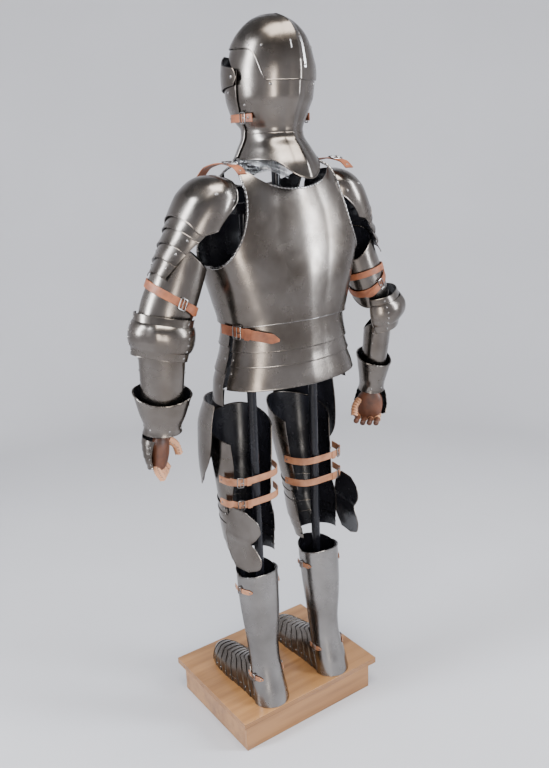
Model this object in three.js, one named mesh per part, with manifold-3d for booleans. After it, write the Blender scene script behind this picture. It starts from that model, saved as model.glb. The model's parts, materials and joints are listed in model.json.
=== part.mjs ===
// A full suit of plate armour on its display stand, modelled in millimetres with +Z up.
// The suit faces -Y and its left side is +X. The origin is the middle of the plinth's underside.
import * as THREE from "three";
import { mergeVertices } from "three/addons/utils/BufferGeometryUtils.js";
import Module from "manifold-3d";

const wasm = await Module();
wasm.setup();

// ---- Driving dimensions ----
const PLATE = 1.6; // thickness of a steel plate
const LEATHER = 3; // thickness of a strap
const GAP = 0.3; // clearance between pieces that meet
const LAYER = 4.2; // step from one plate to the plate that overlaps it
const FINE = 18; // degrees between the corners of a large faceted plate
const COARSE = 26; // degrees between the corners of a limb's plate

const BOARD = { width: 488, depth: 384, height: 18 };
// The box under the board, and how far the board overhangs it on each side.
const PLINTH = { height: 74, left: 6, right: 28, front: 36, back: 2 };
const FLOOR = PLINTH.height + BOARD.height; // the level that the feet stand on
const POLE = { x: 102, y: 86, radius: 12.5, top: 1470 };
const YOKE = { height: 26, depth: 30, reach: 132 };
const NECK_POST = { radius: 11, top: 1872, pad: 46, padHeight: 14 };
const WAIST_STRAP = 25;
const TRUNK_X = -12; // the cuirass hangs a little off the plinth's middle

const LEG_X = 4; // the greaves stand a little off the plinth's middle, the other way
const TURN = THREE.MathUtils.degToRad(40); // the arms' sections are turned, elbows outward
const REACH = THREE.MathUtils.degToRad(8); // the forearms hang a little forward
const SHOULDER = new THREE.Vector3(205, 70, 1512);
// The right forearm hangs lower and its hand is more closed.
const ARMS = {
  left: { sign: 1, elbow: new THREE.Vector3(352, 86, 1200), curl: 0.3 },
  right: { sign: -1, elbow: new THREE.Vector3(352, 86, 1166), curl: 1 },
};

// ---- Section tables ----
// Each row is a closed section: its level, its middle, its half width and its reach in front and behind.
function table(columns, rows) {
  const names = columns.split(" ");
  return rows.map((row) => Object.fromEntries(names.map((n, i) => [n, row[i]])));
}

const HEAD = table("z cx cy w f b", [
  [1540, -5, 72, 134, 126, 150],
  [1585, -5, 72, 104, 98, 132],
  [1620, -5, 70, 86, 80, 108],
  [1650, -5, 70, 74, 70, 82],
  [1665, -5, 70, 73, 70, 78],
  [1685, -4, 70, 82, 90, 84],
  [1710, -3, 70, 93, 106, 94],
  [1740, -2, 70, 102, 108, 110],
  [1773, -2, 70, 105, 109, 114],
  [1800, -2, 70, 104, 106, 115],
  [1835, -1, 70, 96, 94, 112],
  [1870, 0, 70, 83, 66, 102],
  [1896, 0, 70, 62, 42, 84],
  [1914, 0, 70, 38, 22, 58],
  [1924, 0, 70, 14, 8, 30],
]);

const TRUNK = table("z cy w f b n", [
  [960, 78, 222, 158, 146, 2.2],
  [1038, 78, 218, 154, 140, 2.2],
  [1080, 78, 204, 146, 133, 2.2],
  [1120, 78, 190, 140, 126, 2.2],
  [1190, 78, 178, 134, 120, 2.2],
  [1250, 78, 190, 142, 118, 2.3],
  [1320, 78, 206, 150, 115, 2.5],
  [1400, 78, 220, 150, 106, 2.7],
  [1460, 78, 216, 142, 96, 2.7],
  [1510, 78, 198, 126, 84, 2.5],
  [1545, 78, 176, 104, 72, 2.4],
  [1570, 78, 150, 80, 60, 2.3],
  [1586, 78, 122, 60, 48, 2.2],
]);

// Shoulder defence, down the upper arm's own axis from the point of the shoulder (0).
const PAULDRON = table("z cx w f b", [
  [-240, 0, 69, 82, 62],
  [-208, 0, 68, 81, 63],
  [-150, 0, 66, 79, 68],
  [-110, -2, 64, 79, 74],
  [-60, -4, 64, 80, 82],
  [-20, -8, 64, 82, 86],
  [12, -12, 56, 78, 84],
  [34, -16, 46, 68, 74],
  [50, -22, 33, 52, 56],
  [60, -30, 18, 30, 32],
]);
// Upper cannon, measured up the same axis from the elbow (0).
const REREBRACE = table("z w f b", [
  [28, 61, 45, 47],
  [70, 65, 48, 50],
  [140, 63, 48, 50],
  [250, 54, 46, 48],
]);

// Elbow and forearm, from the middle of the elbow (0) straight down.
const COUTER = table("z w f b n", [
  [-54, 69, 46, 47, 2.2],
  [-36, 71, 48, 54, 2.2],
  [-10, 73, 50, 64, 2.2],
  [12, 73, 50, 67, 2.2],
  [34, 73, 50, 62, 2.2],
  [54, 74, 50, 56, 2.2],
]);
const FOREARM = table("z w f b", [
  [-212, 46, 31, 32],
  [-150, 51, 34, 35],
  [-100, 54, 36, 37],
  [-60, 56, 37, 38],
  [-26, 57, 37, 39],
]);
const CUFF = table("z w f b", [
  [-262, 50, 38, 40],
  [-240, 46, 35, 36],
  [-205, 57, 39, 41],
  [-180, 64, 44, 46],
  [-140, 75, 51, 53],
]);
const HAND = table("z cx w f b n", [
  [-356, 2, 25, 44, 44, 2.4],
  [-335, 8, 28, 46, 47, 2.4],
  [-310, 12, 32, 46, 48, 2.4],
  [-285, 10, 38, 42, 44, 2.3],
  [-262, 4, 44, 38, 40, 2.2],
]);

const THIGH = table("z cx cy w f b", [
  [640, 114, 30, 68, 76, 64],
  [720, 109, 20, 76, 82, 68],
  [800, 105, 10, 84, 86, 74],
  [860, 103, 4, 88, 88, 78],
  [930, 101, 0, 90, 90, 82],
]);
const KNEE = table("z cx cy w f b", [
  [498, 114, 62, 57, 60, 56],
  [530, 114, 56, 61, 72, 60],
  [565, 114, 50, 65, 84, 62],
  [600, 114, 46, 68, 90, 64],
  [635, 114, 38, 70, 84, 66],
  [660, 113, 28, 71, 79, 68],
  [692, 111, 24, 74, 81, 70],
]);
const SHIN = table("z cx cy w f b", [
  [FLOOR + GAP, 113, 138, 48, 62, 46],
  [130, 113, 130, 45, 58, 44],
  [170, 112, 120, 41, 56, 41],
  [215, 111, 110, 38, 52, 39],
  [260, 111, 104, 39, 54, 42],
  [330, 111, 98, 48, 50, 49],
  [400, 111, 93, 53, 54, 53],
  [470, 110, 88, 55, 56, 54],
  [520, 110, 86, 55, 58, 54],
]);
// Foot, along its own length: z is the distance forward of the ankle, b the height above the board.
const FOOT = table("z w b n", [
  [-60, 45, 86, 2.3],
  [-20, 46, 92, 2.3],
  [30, 46, 98, 2.2],
  [70, 48, 82, 2.2],
  [110, 51, 66, 2.3],
  [150, 50, 56, 2.4],
  [195, 43, 48, 2.4],
  [224, 28, 38, 2.3],
  [238, 12, 26, 2.2],
]);

// ---- Sections, edges and walls ----
const lerp = THREE.MathUtils.lerp;

// The row of a section table at any level, straight between its neighbours.
function sectionAt(rows, z) {
  let k = 0;
  while (k < rows.length - 2 && z > rows[k + 1].z) k++;
  const [low, high] = [rows[k], rows[k + 1]];
  const t = (z - low.z) / (high.z - low.z);
  return Object.fromEntries(Object.keys(low).map((n) => [n, lerp(low[n], high[n], t)]));
}

// A point of the surface, `out` millimetres outside its section, with an optional medial crease.
// The angle is in degrees: 0 is the suit's left side, 90 its back and -90 its front.
function pointOn(rows, angle, z, out = 0, crease = 0) {
  const { cx = 0, cy = 0, w, b, f = b, n = 2 } = sectionAt(rows, z);
  const radians = THREE.MathUtils.degToRad(angle);
  const [c, s] = [Math.cos(radians), Math.sin(radians)];
  const round = (value) => Math.sign(value) * Math.abs(value) ** (2 / n);
  const ridge = crease * Math.max(0, 1 - Math.abs(c) / 0.22);
  const depth = (s > 0 ? b : f) + out + ridge;
  return new THREE.Vector3(cx + (w + out) * round(c), cy + depth * round(s), z);
}

// An edge given by a few [at, value] pairs, straight between them.
function edge(pairs) {
  return (at) => {
    if (at <= pairs[0][0]) return pairs[0][1];
    for (let k = 1; k < pairs.length; k++) {
      const [[a, low], [b, high]] = [pairs[k - 1], pairs[k]];
      if (at <= b) return lerp(low, high, (at - a) / (b - a));
    }
    return pairs[pairs.length - 1][1];
  };
}
const level = (value) => (typeof value === "function" ? value : () => value);

// A grid of points, [row][column], on the part of a surface inside the four edges.
// The side edges depend on the level, and the bottom and top on the share of the way round.
// `rowsUp` is a number of equal levels, or a list of [share of the height, step outward].
function patch({ rows, from, to, bottom, top, out = 0, crease = 0, step = COARSE, rowsUp = 4 }) {
  const [start, end, low, high] = [from, to, bottom, top].map(level);
  const width = Math.abs(end(low(0.5)) - start(low(0.5)));
  const columns = Math.max(2, 2 * Math.ceil(width / step / 2));
  const even = Array.from({ length: rowsUp + 1 }, (_, j) => [j / rowsUp, 0]);
  const heights = Array.isArray(rowsUp) ? rowsUp : even;
  return heights.map(([height, stepOut]) =>
    Array.from({ length: columns + 1 }, (_, i) => {
      const share = i / columns;
      const z = lerp(low(share), high(share), height);
      return pointOn(rows, lerp(start(z), end(z), share), z, out + stepOut, crease);
    }),
  );
}

// The grid moved out along its own normals.
function movedOut(grid, distance, closed) {
  const last = grid.length - 1;
  return grid.map((line, j) =>
    line.map((point, i) => {
      const end = line.length - 1;
      const before = closed ? line[(i + end) % (end + 1)] : line[Math.max(i - 1, 0)];
      const after = closed ? line[(i + 1) % (end + 1)] : line[Math.min(i + 1, end)];
      const across = after.clone().sub(before);
      const up = grid[Math.min(j + 1, last)][i].clone().sub(grid[Math.max(j - 1, 0)][i]);
      return point.clone().addScaledVector(across.cross(up).normalize(), distance);
    }),
  );
}

// One closed wall on a grid: its inner face is the grid. `capped` closes the top with a point.
function wall(grid, { thickness = PLATE, closed = false, capped = false } = {}) {
  const inner = closed ? grid.map((line) => line.slice(0, -1)) : grid;
  const outer = movedOut(inner, thickness, closed);
  const [levels, columns] = [inner.length, inner[0].length];
  const positions = [...inner.flat(), ...outer.flat()];
  const inside = (j, i) => j * columns + (i % columns);
  const outside = (j, i) => levels * columns + inside(j, i);
  const faces = [];
  const quad = (a, b, c, d) => faces.push(a, b, c, a, c, d);
  const spans = closed ? columns : columns - 1;
  for (let i = 0; i < spans; i++) {
    for (let j = 0; j < levels - 1; j++) {
      quad(outside(j, i), outside(j, i + 1), outside(j + 1, i + 1), outside(j + 1, i));
      quad(inside(j, i), inside(j + 1, i), inside(j + 1, i + 1), inside(j, i + 1));
    }
    quad(outside(0, i), inside(0, i), inside(0, i + 1), outside(0, i + 1));
  }
  const rim = levels - 1;
  if (capped) {
    const middle = new THREE.Vector3();
    inner[rim].forEach((p) => middle.addScaledVector(p, 1 / columns));
    positions.push(middle, middle.clone().setZ(middle.z + thickness));
    const apex = positions.length - 2;
    for (let i = 0; i < spans; i++) {
      faces.push(outside(rim, i), outside(rim, i + 1), apex + 1, inside(rim, i + 1), inside(rim, i), apex);
    }
  } else {
    for (let i = 0; i < spans; i++) {
      quad(outside(rim, i), outside(rim, i + 1), inside(rim, i + 1), inside(rim, i));
    }
  }
  if (!closed) {
    const side = columns - 1;
    for (let j = 0; j < rim; j++) {
      quad(outside(j, 0), outside(j + 1, 0), inside(j + 1, 0), inside(j, 0));
      quad(outside(j, side), inside(j, side), inside(j + 1, side), outside(j + 1, side));
    }
  }
  return geometryOf(positions, faces);
}

function geometryOf(points, faces) {
  const geometry = new THREE.BufferGeometry().setFromPoints(points);
  geometry.setIndex(faces);
  geometry.computeVertexNormals();
  return geometry;
}

const plate = (spec) => wall(patch(spec), spec);
const ring = (spec) => wall(patch({ ...spec, from: 0, to: 360 }), { ...spec, closed: true });

// ---- Solids that are joined or cut ----
function solidOf(geometry) {
  const bare = geometry.clone();
  for (const name of Object.keys(bare.attributes)) {
    if (name !== "position") bare.deleteAttribute(name);
  }
  const merged = mergeVertices(bare, 1e-4);
  return new wasm.Manifold(
    new wasm.Mesh({
      numProp: 3,
      vertProperties: new Float32Array(merged.attributes.position.array),
      triVerts: new Uint32Array(merged.index.array),
    }),
  );
}

function meshOf(solid) {
  const { vertProperties, triVerts } = solid.getMesh();
  const geometry = new THREE.BufferGeometry();
  geometry.setAttribute("position", new THREE.BufferAttribute(new Float32Array(vertProperties), 3));
  geometry.setIndex([...triVerts]);
  geometry.computeVertexNormals();
  return geometry;
}

const joined = (...parts) => meshOf(parts.map(solidOf).reduce((a, b) => a.add(b)));
const cut = (whole, ...tools) => meshOf(tools.map(solidOf).reduce((a, b) => a.subtract(b), solidOf(whole)));

const boxAt = (size, x, y, z) => new THREE.BoxGeometry(...size).translate(x, y, z);
const postAt = (radius, low, high, x, y, sides = 16) =>
  new THREE.CylinderGeometry(radius, radius, high - low, sides)
    .rotateX(Math.PI / 2)
    .translate(x, y, (low + high) / 2);

// A flat strap standing on edge along a path of [x, y, rise], `width` tall and centred on level z.
function strap(path, z, width = 20) {
  const grid = [-0.5, 0.5].map((share) =>
    path.map(([x, y, rise = 0]) => new THREE.Vector3(x, y, z + rise + share * width)),
  );
  return wall(grid, { thickness: LEATHER });
}

// The path of a strap that lies on a surface between two angles, its far end raised by `rise`.
function pathOn(rows, from, to, z, out, rise = 0) {
  const steps = Math.ceil((to - from) / 15);
  return Array.from({ length: steps + 1 }, (_, i) => {
    const point = pointOn(rows, lerp(from, to, i / steps), z, out);
    return [point.x, point.y, rise * (i / steps) ** 2];
  });
}

// ---- Scene graph ----
const materials = Object.fromEntries(
  Object.entries({
    steel: { color: 0x8c857c, roughness: 0.32, metalness: 1 },
    mail: { color: 0x9aa0a4, roughness: 0.4, metalness: 1 },
    leather: { color: 0xb5653f, roughness: 0.7, metalness: 0 },
    strapLeather: { color: 0xd9a27c, roughness: 0.7, metalness: 0 },
    wood: { color: 0xb8834a, roughness: 0.6, metalness: 0 },
    pole: { color: 0x17181b, roughness: 0.35, metalness: 0.2 },
  }).map(([name, look]) => [name, new THREE.MeshStandardMaterial(look)]),
);

const suit = new THREE.Group();
function add(parent, name, geometry, material = "steel") {
  const mesh = new THREE.Mesh(geometry, materials[material]);
  mesh.name = name;
  parent.add(mesh);
  return mesh;
}

// The same piece on the left and, mirrored, on the right.
function addPair(parent, name, geometry, material) {
  for (const [side, sign] of [["left", 1], ["right", -1]]) {
    const mirror = new THREE.Group();
    mirror.scale.x = sign;
    parent.add(mirror);
    add(mirror, `${name}_${side}`, geometry, material);
  }
}

// ---- Stand ----
function buildStand() {
  const { left, right, front, back, height } = PLINTH;
  const box = [BOARD.width - left - right, BOARD.depth - front - back, height - GAP];
  add(suit, "plinth_box", boxAt(box, (right - left) / 2, (front - back) / 2, box[2] / 2), "wood");
  const board = [BOARD.width, BOARD.depth, BOARD.height];
  add(suit, "plinth_board", boxAt(board, 0, 0, PLINTH.height + BOARD.height / 2), "wood");
  for (const [side, sign] of [["left", 1], ["right", -1]]) {
    const post = postAt(POLE.radius, FLOOR + GAP, POLE.top, sign * POLE.x, POLE.y);
    add(suit, `pole_${side}`, post, "pole");
  }
  const bar = POLE.top + GAP;
  const yoke = joined(
    boxAt([2 * YOKE.reach, YOKE.depth, YOKE.height], 0, POLE.y, bar + YOKE.height / 2),
    postAt(NECK_POST.radius, bar + 1, NECK_POST.top, 0, POLE.y),
    postAt(NECK_POST.pad, NECK_POST.top - NECK_POST.padHeight, NECK_POST.top, 0, POLE.y),
  );
  add(suit, "stand_yoke", yoke, "pole");
}

// ---- Helmet ----
function buildHelmet() {
  // The skull's lower edge is level behind and rises over the cheeks to the brow.
  const skullEdge = edge([
    [0, 1838], [0.06, 1800], [0.11, 1773], [0.39, 1773], [0.44, 1800], [0.5, 1838],
    [0.56, 1850], [0.94, 1850], [1, 1838],
  ]);
  add(suit, "helmet_skull", ring({
    rows: HEAD, bottom: skullEdge, top: 1924, out: LAYER, crease: 7, step: FINE, rowsUp: 5, capped: true,
  }));

  // The nape plate runs from ear to ear, narrows at the neck and spreads over the shoulders.
  const napeFront = edge([[1560, -30], [1620, -20], [1665, -8], [1720, -2], [1790, 2], [1850, -30]]);
  add(suit, "helmet_nape", plate({
    rows: HEAD,
    from: napeFront,
    to: (z) => 180 - napeFront(z),
    bottom: edge([[0, 1600], [0.3, 1596], [0.5, 1551], [0.7, 1596], [1, 1600]]),
    top: edge([
      [0, 1846], [0.14, 1840], [0.2, 1800], [0.24, 1786], [0.76, 1786], [0.8, 1800], [0.86, 1840], [1, 1846],
    ]),
    crease: 7,
    step: FINE,
    rowsUp: 8,
  }));

  // The bevor closes the face from below and carries its own gorget plate.
  const bevorRear = edge([[1560, -14], [1620, -8], [1665, -4], [1720, 4], [1790, 9]]);
  add(suit, "helmet_bevor", plate({
    rows: HEAD,
    from: (z) => -180 - bevorRear(z),
    to: bevorRear,
    bottom: edge([[0, 1604], [0.3, 1584], [0.5, 1548], [0.7, 1584], [1, 1604]]),
    top: edge([[0, 1800], [0.12, 1786], [0.3, 1768], [0.7, 1768], [0.88, 1786], [1, 1800]]),
    out: LAYER,
    crease: 7,
    step: FINE,
    rowsUp: 7,
  }));
  buildVisor();
  for (const [side, from] of [["left", -34], ["right", 154]]) {
    const band = { rows: HEAD, from, to: from + 60, bottom: 1684, top: 1703, out: 2 * LAYER };
    const geometry = plate({ ...band, thickness: LEATHER, step: FINE, rowsUp: 1 });
    add(suit, `helmet_strap_${side}`, geometry, "leather");
  }
}

// The visor: a shell that hangs from the two side rivets, with a slit for each eye.
function buildVisor() {
  const rows = table("z cy w f b", [
    [1752, 76, 115, 122, 100],
    [1786, 76, 116, 127, 100],
    [1812, 76, 115, 124, 100],
    [1840, 76, 107, 115, 100],
  ]);
  const shell = plate({
    rows,
    from: -180,
    to: 0,
    bottom: edge([[0, 1768], [0.12, 1764], [0.3, 1756], [0.7, 1756], [0.88, 1764], [1, 1768]]),
    top: edge([[0, 1804], [0.1, 1812], [0.25, 1838], [0.75, 1838], [0.9, 1812], [1, 1804]]),
    crease: 9,
    step: FINE,
    rowsUp: 4,
  });
  const slits = [1, -1].map((sign) => boxAt([62, 120, 9], sign * 44, -50, 1812));
  add(suit, "visor", cut(shell, ...slits));
}

// The mail collar lies over the shoulders, under the helmet's skirt, and is open behind.
function buildMail() {
  const rows = table("z cy w f b", [
    [1522, 76, 138, 112, 130],
    [1548, 76, 116, 98, 112],
    [1590, 74, 90, 82, 88],
    [1612, 72, 76, 70, 74],
  ]);
  add(suit, "mail_collar", plate({
    rows,
    from: 104,
    to: 436,
    bottom: edge([[0, 1552], [0.1, 1580], [0.22, 1594], [0.5, 1560], [0.78, 1594], [0.9, 1580], [1, 1552]]),
    top: 1612,
    thickness: 2.5,
    rowsUp: 3,
  }), "mail");
}

// ---- Cuirass ----
// The oval cut for an arm, square on to a bearing in degrees; `hand` is the side of it that the arm is on.
function armhole(bearing, hand, halfWidth) {
  return new THREE.CylinderGeometry(1, 1, 400, 24)
    .rotateZ(Math.PI / 2)
    .scale(1, halfWidth, 128)
    .translate(230, hand * 125, 1475)
    .rotateZ(THREE.MathUtils.degToRad(bearing))
    .translate(0, 78, 0);
}

function buildCuirass(trunk) {
  const behind = { from: 2, to: 178 };
  const infront = { from: -184, to: 4 };
  const waist = edge([[0, 1196], [0.5, 1206], [1, 1196]]);
  const neck = edge([[0, 1578], [0.2, 1570], [0.5, 1526], [0.8, 1570], [1, 1578]]);
  const shell = { rows: TRUNK, bottom: waist, top: neck, step: FINE, rowsUp: 9 };
  const back = plate({ ...shell, ...behind, out: LAYER, crease: 5 });
  add(trunk, "backplate", cut(back, armhole(40, -1, 90), armhole(140, 1, 90)));
  const breast = plate({ ...shell, ...infront, crease: 12 });
  add(trunk, "breastplate", cut(breast, armhole(-40, 1, 118), armhole(220, -1, 118)));
  // Three plates below the waist, behind and in front, each tucked under the one above.
  const hips = { from: 12, to: 168 };
  const skirt = [
    ["back_waist_plate", 1134, 1216, hips, -2],
    ["back_lame_1", 1096, 1144, hips, -2 - LAYER],
    ["back_lame_2", 1038, 1108, hips, -2 - 2 * LAYER],
    ["front_waist_plate", 1140, 1216, infront, -2 - LAYER],
    ["front_lame_1", 1074, 1150, infront, -2 - 2 * LAYER],
    ["front_lame_2", 990, 1086, infront, -2 - 3 * LAYER],
  ];
  for (const [name, bottom, top, sides, out] of skirt) {
    add(trunk, name, plate({ rows: TRUNK, ...sides, bottom, top, out, step: FINE, rowsUp: 2 }));
  }
  const belt = pathOn(TRUNK, 0, 62, 1190, 2 * LAYER + PLATE, -26);
  add(trunk, "waist_strap", strap(belt, 1190, WAIST_STRAP), "leather");
  const over = edge([[-30, 1560], [10, 1592], [80, 1606], [140, 1594], [165, 1570]]);
  const run = [-30, 10, 50, 80, 110, 140, 165];
  const grid = run.map((y) => [176, 150].map((x) => new THREE.Vector3(x, y, over(y))));
  addPair(trunk, "shoulder_strap", wall(grid, { thickness: LEATHER }), "leather");
}

// ---- Arms ----
function buildArm(parent, side) {
  const { elbow, curl } = ARMS[side];
  const length = SHOULDER.distanceTo(elbow);
  const lean = Math.atan2(elbow.x - SHOULDER.x, SHOULDER.z - elbow.z);
  const upper = new THREE.Group();
  upper.position.copy(SHOULDER);
  upper.rotation.y = -lean;
  parent.add(upper);
  // Round the arm 0 is outside, 90 behind and -90 in front.
  const capEdge = edge([[-86, 96], [-40, 116], [0, 124], [56, 110]]);
  add(upper, `pauldron_${side}`, plate({
    rows: PAULDRON,
    from: (z) => -capEdge(z),
    to: capEdge,
    bottom: edge([[0, -70], [0.15, -92], [0.3, -76], [0.5, -66], [0.7, -76], [0.85, -92], [1, -70]]),
    top: 58,
    out: LAYER + 1,
    rowsUp: 5,
  }));
  // Four narrow lames below the cap; each upper one overlaps the next.
  const lap = { height: 0.25, riser: 0.02, out: 2 };
  const steps = [0, 1, 2, 3].flatMap((k) => [
    [k * lap.height + (k > 0 ? lap.riser : 0), (k - 2) * lap.out],
    [(k + 1) * lap.height, (k - 2) * lap.out],
  ]);
  const lamesEdge = edge([[-210, 40], [-60, 92]]);
  add(upper, `pauldron_lames_${side}`, plate({
    rows: PAULDRON,
    from: (z) => -lamesEdge(z),
    to: lamesEdge,
    bottom: edge([[0, -216], [0.5, -206], [1, -216]]),
    top: edge([[0, -76], [0.5, -58], [1, -76]]),
    out: -1.5,
    rowsUp: steps,
  }));
  const cannon = new THREE.Group();
  cannon.position.z = -length;
  cannon.rotation.z = -TURN;
  upper.add(cannon);
  add(cannon, `rerebrace_${side}`, ring({
    rows: REREBRACE,
    bottom: edge([[0, 36], [0.5, 36], [0.75, 70], [1, 36]]),
    top: edge([[0, 240], [0.25, 215], [0.5, 185], [0.75, 220], [1, 240]]),
    rowsUp: 3,
  }));
  add(cannon, `arm_strap_${side}`, ring({
    rows: REREBRACE,
    bottom: edge([[0, 104], [0.5, 74], [1, 104]]),
    top: edge([[0, 124], [0.5, 94], [1, 124]]),
    out: PLATE + 2,
    thickness: LEATHER,
    rowsUp: 1,
  }), "leather");

  const elbowJoint = new THREE.Group();
  elbowJoint.position.copy(elbow);
  elbowJoint.rotation.set(0, -lean / 2, -TURN, "YZX");
  parent.add(elbowJoint);
  add(elbowJoint, `couter_${side}`, plate({
    rows: COUTER, from: -12, to: 192, bottom: -50, top: 50, rowsUp: 5,
  }));
  const lower = new THREE.Group();
  lower.position.copy(elbow);
  lower.rotation.set(-REACH, 0, -TURN);
  parent.add(lower);
  add(lower, `vambrace_${side}`, ring({
    rows: FOREARM, bottom: -212, top: edge([[0, -30], [0.5, -30], [0.75, -66], [1, -30]]), rowsUp: 3,
  }));
  add(lower, `gauntlet_cuff_${side}`, ring({
    rows: CUFF, bottom: edge([[0, -258], [0.5, -250], [1, -258]]),
    top: edge([[0, -146], [0.25, -164], [0.5, -150], [0.75, -140], [1, -146]]), rowsUp: 4,
  }));
  add(lower, `gauntlet_hand_${side}`, plate({
    rows: HAND,
    from: -80,
    to: 84,
    bottom: edge([[0, -340], [0.5, -350], [1, -334]]),
    top: -264,
    out: 2,
    rowsUp: 3,
  }));
  add(lower, `glove_${side}`, buildGlove(curl), "leather");
}

// The leather glove: a palm, four bent fingers and a thumb, as one solid.
function buildGlove(curl) {
  const bone = (from, to, radius) => {
    const along = to.clone().sub(from);
    const upright = new THREE.Vector3(0, 1, 0);
    const turn = new THREE.Quaternion().setFromUnitVectors(upright, along.clone().normalize());
    const middle = from.clone().add(to).multiplyScalar(0.5);
    return new THREE.CapsuleGeometry(radius, along.length(), 1, 6)
      .applyQuaternion(turn)
      .translate(middle.x, middle.y, middle.z);
  };
  const at = (x, y, z) => new THREE.Vector3(x, y, z);
  const parts = [new THREE.SphereGeometry(1, 10, 6).scale(22, 40, 44).translate(6, 0, -308)];
  for (let k = 0; k < 4; k++) {
    const y = -30 + 20 * k;
    const longer = 4 - 3 * Math.abs(k - 1);
    const knuckle = at(12, y, -334);
    const middle = at(12 - 18 * curl, y, -358 - longer + 8 * curl);
    const end = at(10 - 50 * curl, y, -384 - longer + 34 * curl);
    parts.push(bone(knuckle, middle, 10), bone(middle, end, 9));
  }
  const thumb = [at(-6, -30, -290), at(-26, -40, -312), at(-34, -38, -332)];
  parts.push(bone(thumb[0], thumb[1], 11), bone(thumb[1], thumb[2], 10));
  return joined(...parts);
}

// ---- Legs ----
function buildLeg(parent, side, sign) {
  const shifted = (x) => {
    const group = new THREE.Group();
    group.position.x = sign * x;
    parent.add(group);
    return group;
  };
  const [thigh, shin] = [shifted(TRUNK_X), shifted(LEG_X)];
  add(thigh, `cuisse_${side}`, plate({
    rows: THIGH,
    from: -208,
    to: edge([[640, 18], [720, 34], [800, 42], [870, 40]]),
    bottom: 668,
    top: edge([[0, 880], [0.35, 925], [0.6, 912], [1, 862]]),
    rowsUp: 5,
  }));
  add(thigh, `poleyn_${side}`, plate({
    rows: KNEE,
    from: -196,
    to: 16,
    bottom: edge([[0, 518], [0.5, 508], [1, 518]]),
    top: edge([[0, 680], [0.5, 690], [1, 680]]),
    out: LAYER,
    rowsUp: 5,
  }));
  add(thigh, `poleyn_wing_${side}`, buildWing());
  add(shin, `greave_back_${side}`, plate({
    rows: SHIN,
    from: -2,
    to: 182,
    bottom: FLOOR + GAP,
    top: edge([[0, 484], [0.5, 496], [1, 484]]),
    out: LAYER,
    rowsUp: 7,
  }));
  add(shin, `greave_front_${side}`, plate({
    rows: SHIN,
    from: -188,
    to: 8,
    bottom: edge([[0, 150], [0.5, 206], [1, 150]]),
    top: edge([[0, 484], [0.5, 498], [1, 484]]),
    rowsUp: 5,
  }));
  const foot = new THREE.Group();
  foot.position.set(113, 92, FLOOR + GAP);
  foot.rotation.x = Math.PI / 2;
  shin.add(foot);
  add(foot, `sabaton_${side}`, plate({
    rows: FOOT,
    from: 0,
    to: 180,
    bottom: edge([[0, -44], [0.3, 10], [0.4, 42], [0.6, 42], [0.7, 10], [1, -44]]),
    top: 238,
    rowsUp: 7,
  }));
  for (const [name, z] of [["upper", 766], ["lower", 700]]) {
    const path = [[198, 36], [194, 66], [172, 94], [142, 103], [92, 103], [58, 97], [30, 68], [22, 36]];
    add(thigh, `thigh_strap_${name}_${side}`, strap(path, z), "strapLeather");
  }
}

// The poleyn's fan: two rounded lobes either side of a crease, standing off the outside of the knee.
function buildWing() {
  const crease = 608;
  const half = 88;
  const rear = edge([[0, 150], [0.25, 170], [0.5, 182], [0.75, 176], [1, 136]]);
  const front = edge([[0, 50], [0.5, 56], [1, 86]]);
  const grid = [-1, -0.85, -0.5, 0, 0.5, 0.85, 1].map((j) => {
    const share = Math.abs(j);
    return [0, 0.25, 0.5, 0.75, 1].map((i) => {
      const y = lerp(front(share), rear(share), i);
      return new THREE.Vector3(192 - 0.0012 * (y - 46) ** 2, y, crease + j * half);
    });
  });
  return wall(grid);
}

// The tasset hangs from the fauld over the front and outside of the thigh, and ends in a point.
function buildTasset(parent, side, sign) {
  const thigh = new THREE.Group();
  thigh.position.x = sign * TRUNK_X;
  parent.add(thigh);
  const rows = table("z cx cy w f b", [
    [715, 112, 0, 104, 104, 100],
    [800, 112, 0, 110, 110, 104],
    [900, 110, 0, 108, 108, 104],
    [984, 106, 14, 96, 92, 96],
  ]);
  add(thigh, `tasset_${side}`, plate({
    rows,
    from: edge([[720, -46], [800, -88], [870, -104], [980, -96]]),
    to: edge([[720, -34], [760, -8], [830, 14], [900, 18], [980, 14]]),
    bottom: 722,
    top: edge([[0, 970], [0.5, 978], [1, 974]]),
    rowsUp: 6,
  }));
}

buildStand();
buildHelmet();
buildMail();
const trunk = new THREE.Group();
trunk.position.x = TRUNK_X;
suit.add(trunk);
buildCuirass(trunk);
for (const [side, { sign }] of Object.entries(ARMS)) {
  const half = new THREE.Group();
  half.scale.x = sign;
  suit.add(half);
  buildArm(half, side);
  buildLeg(half, side, sign);
  buildTasset(half, side, sign);
}

export default suit;
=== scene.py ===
"""A suit of plate armour on its wooden stand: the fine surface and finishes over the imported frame."""

import json
import logging
import math
from dataclasses import dataclass, field
from enum import Enum
from typing import Callable, Sequence

import bpy
import numpy as np
from mathutils import Matrix, Vector


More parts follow.
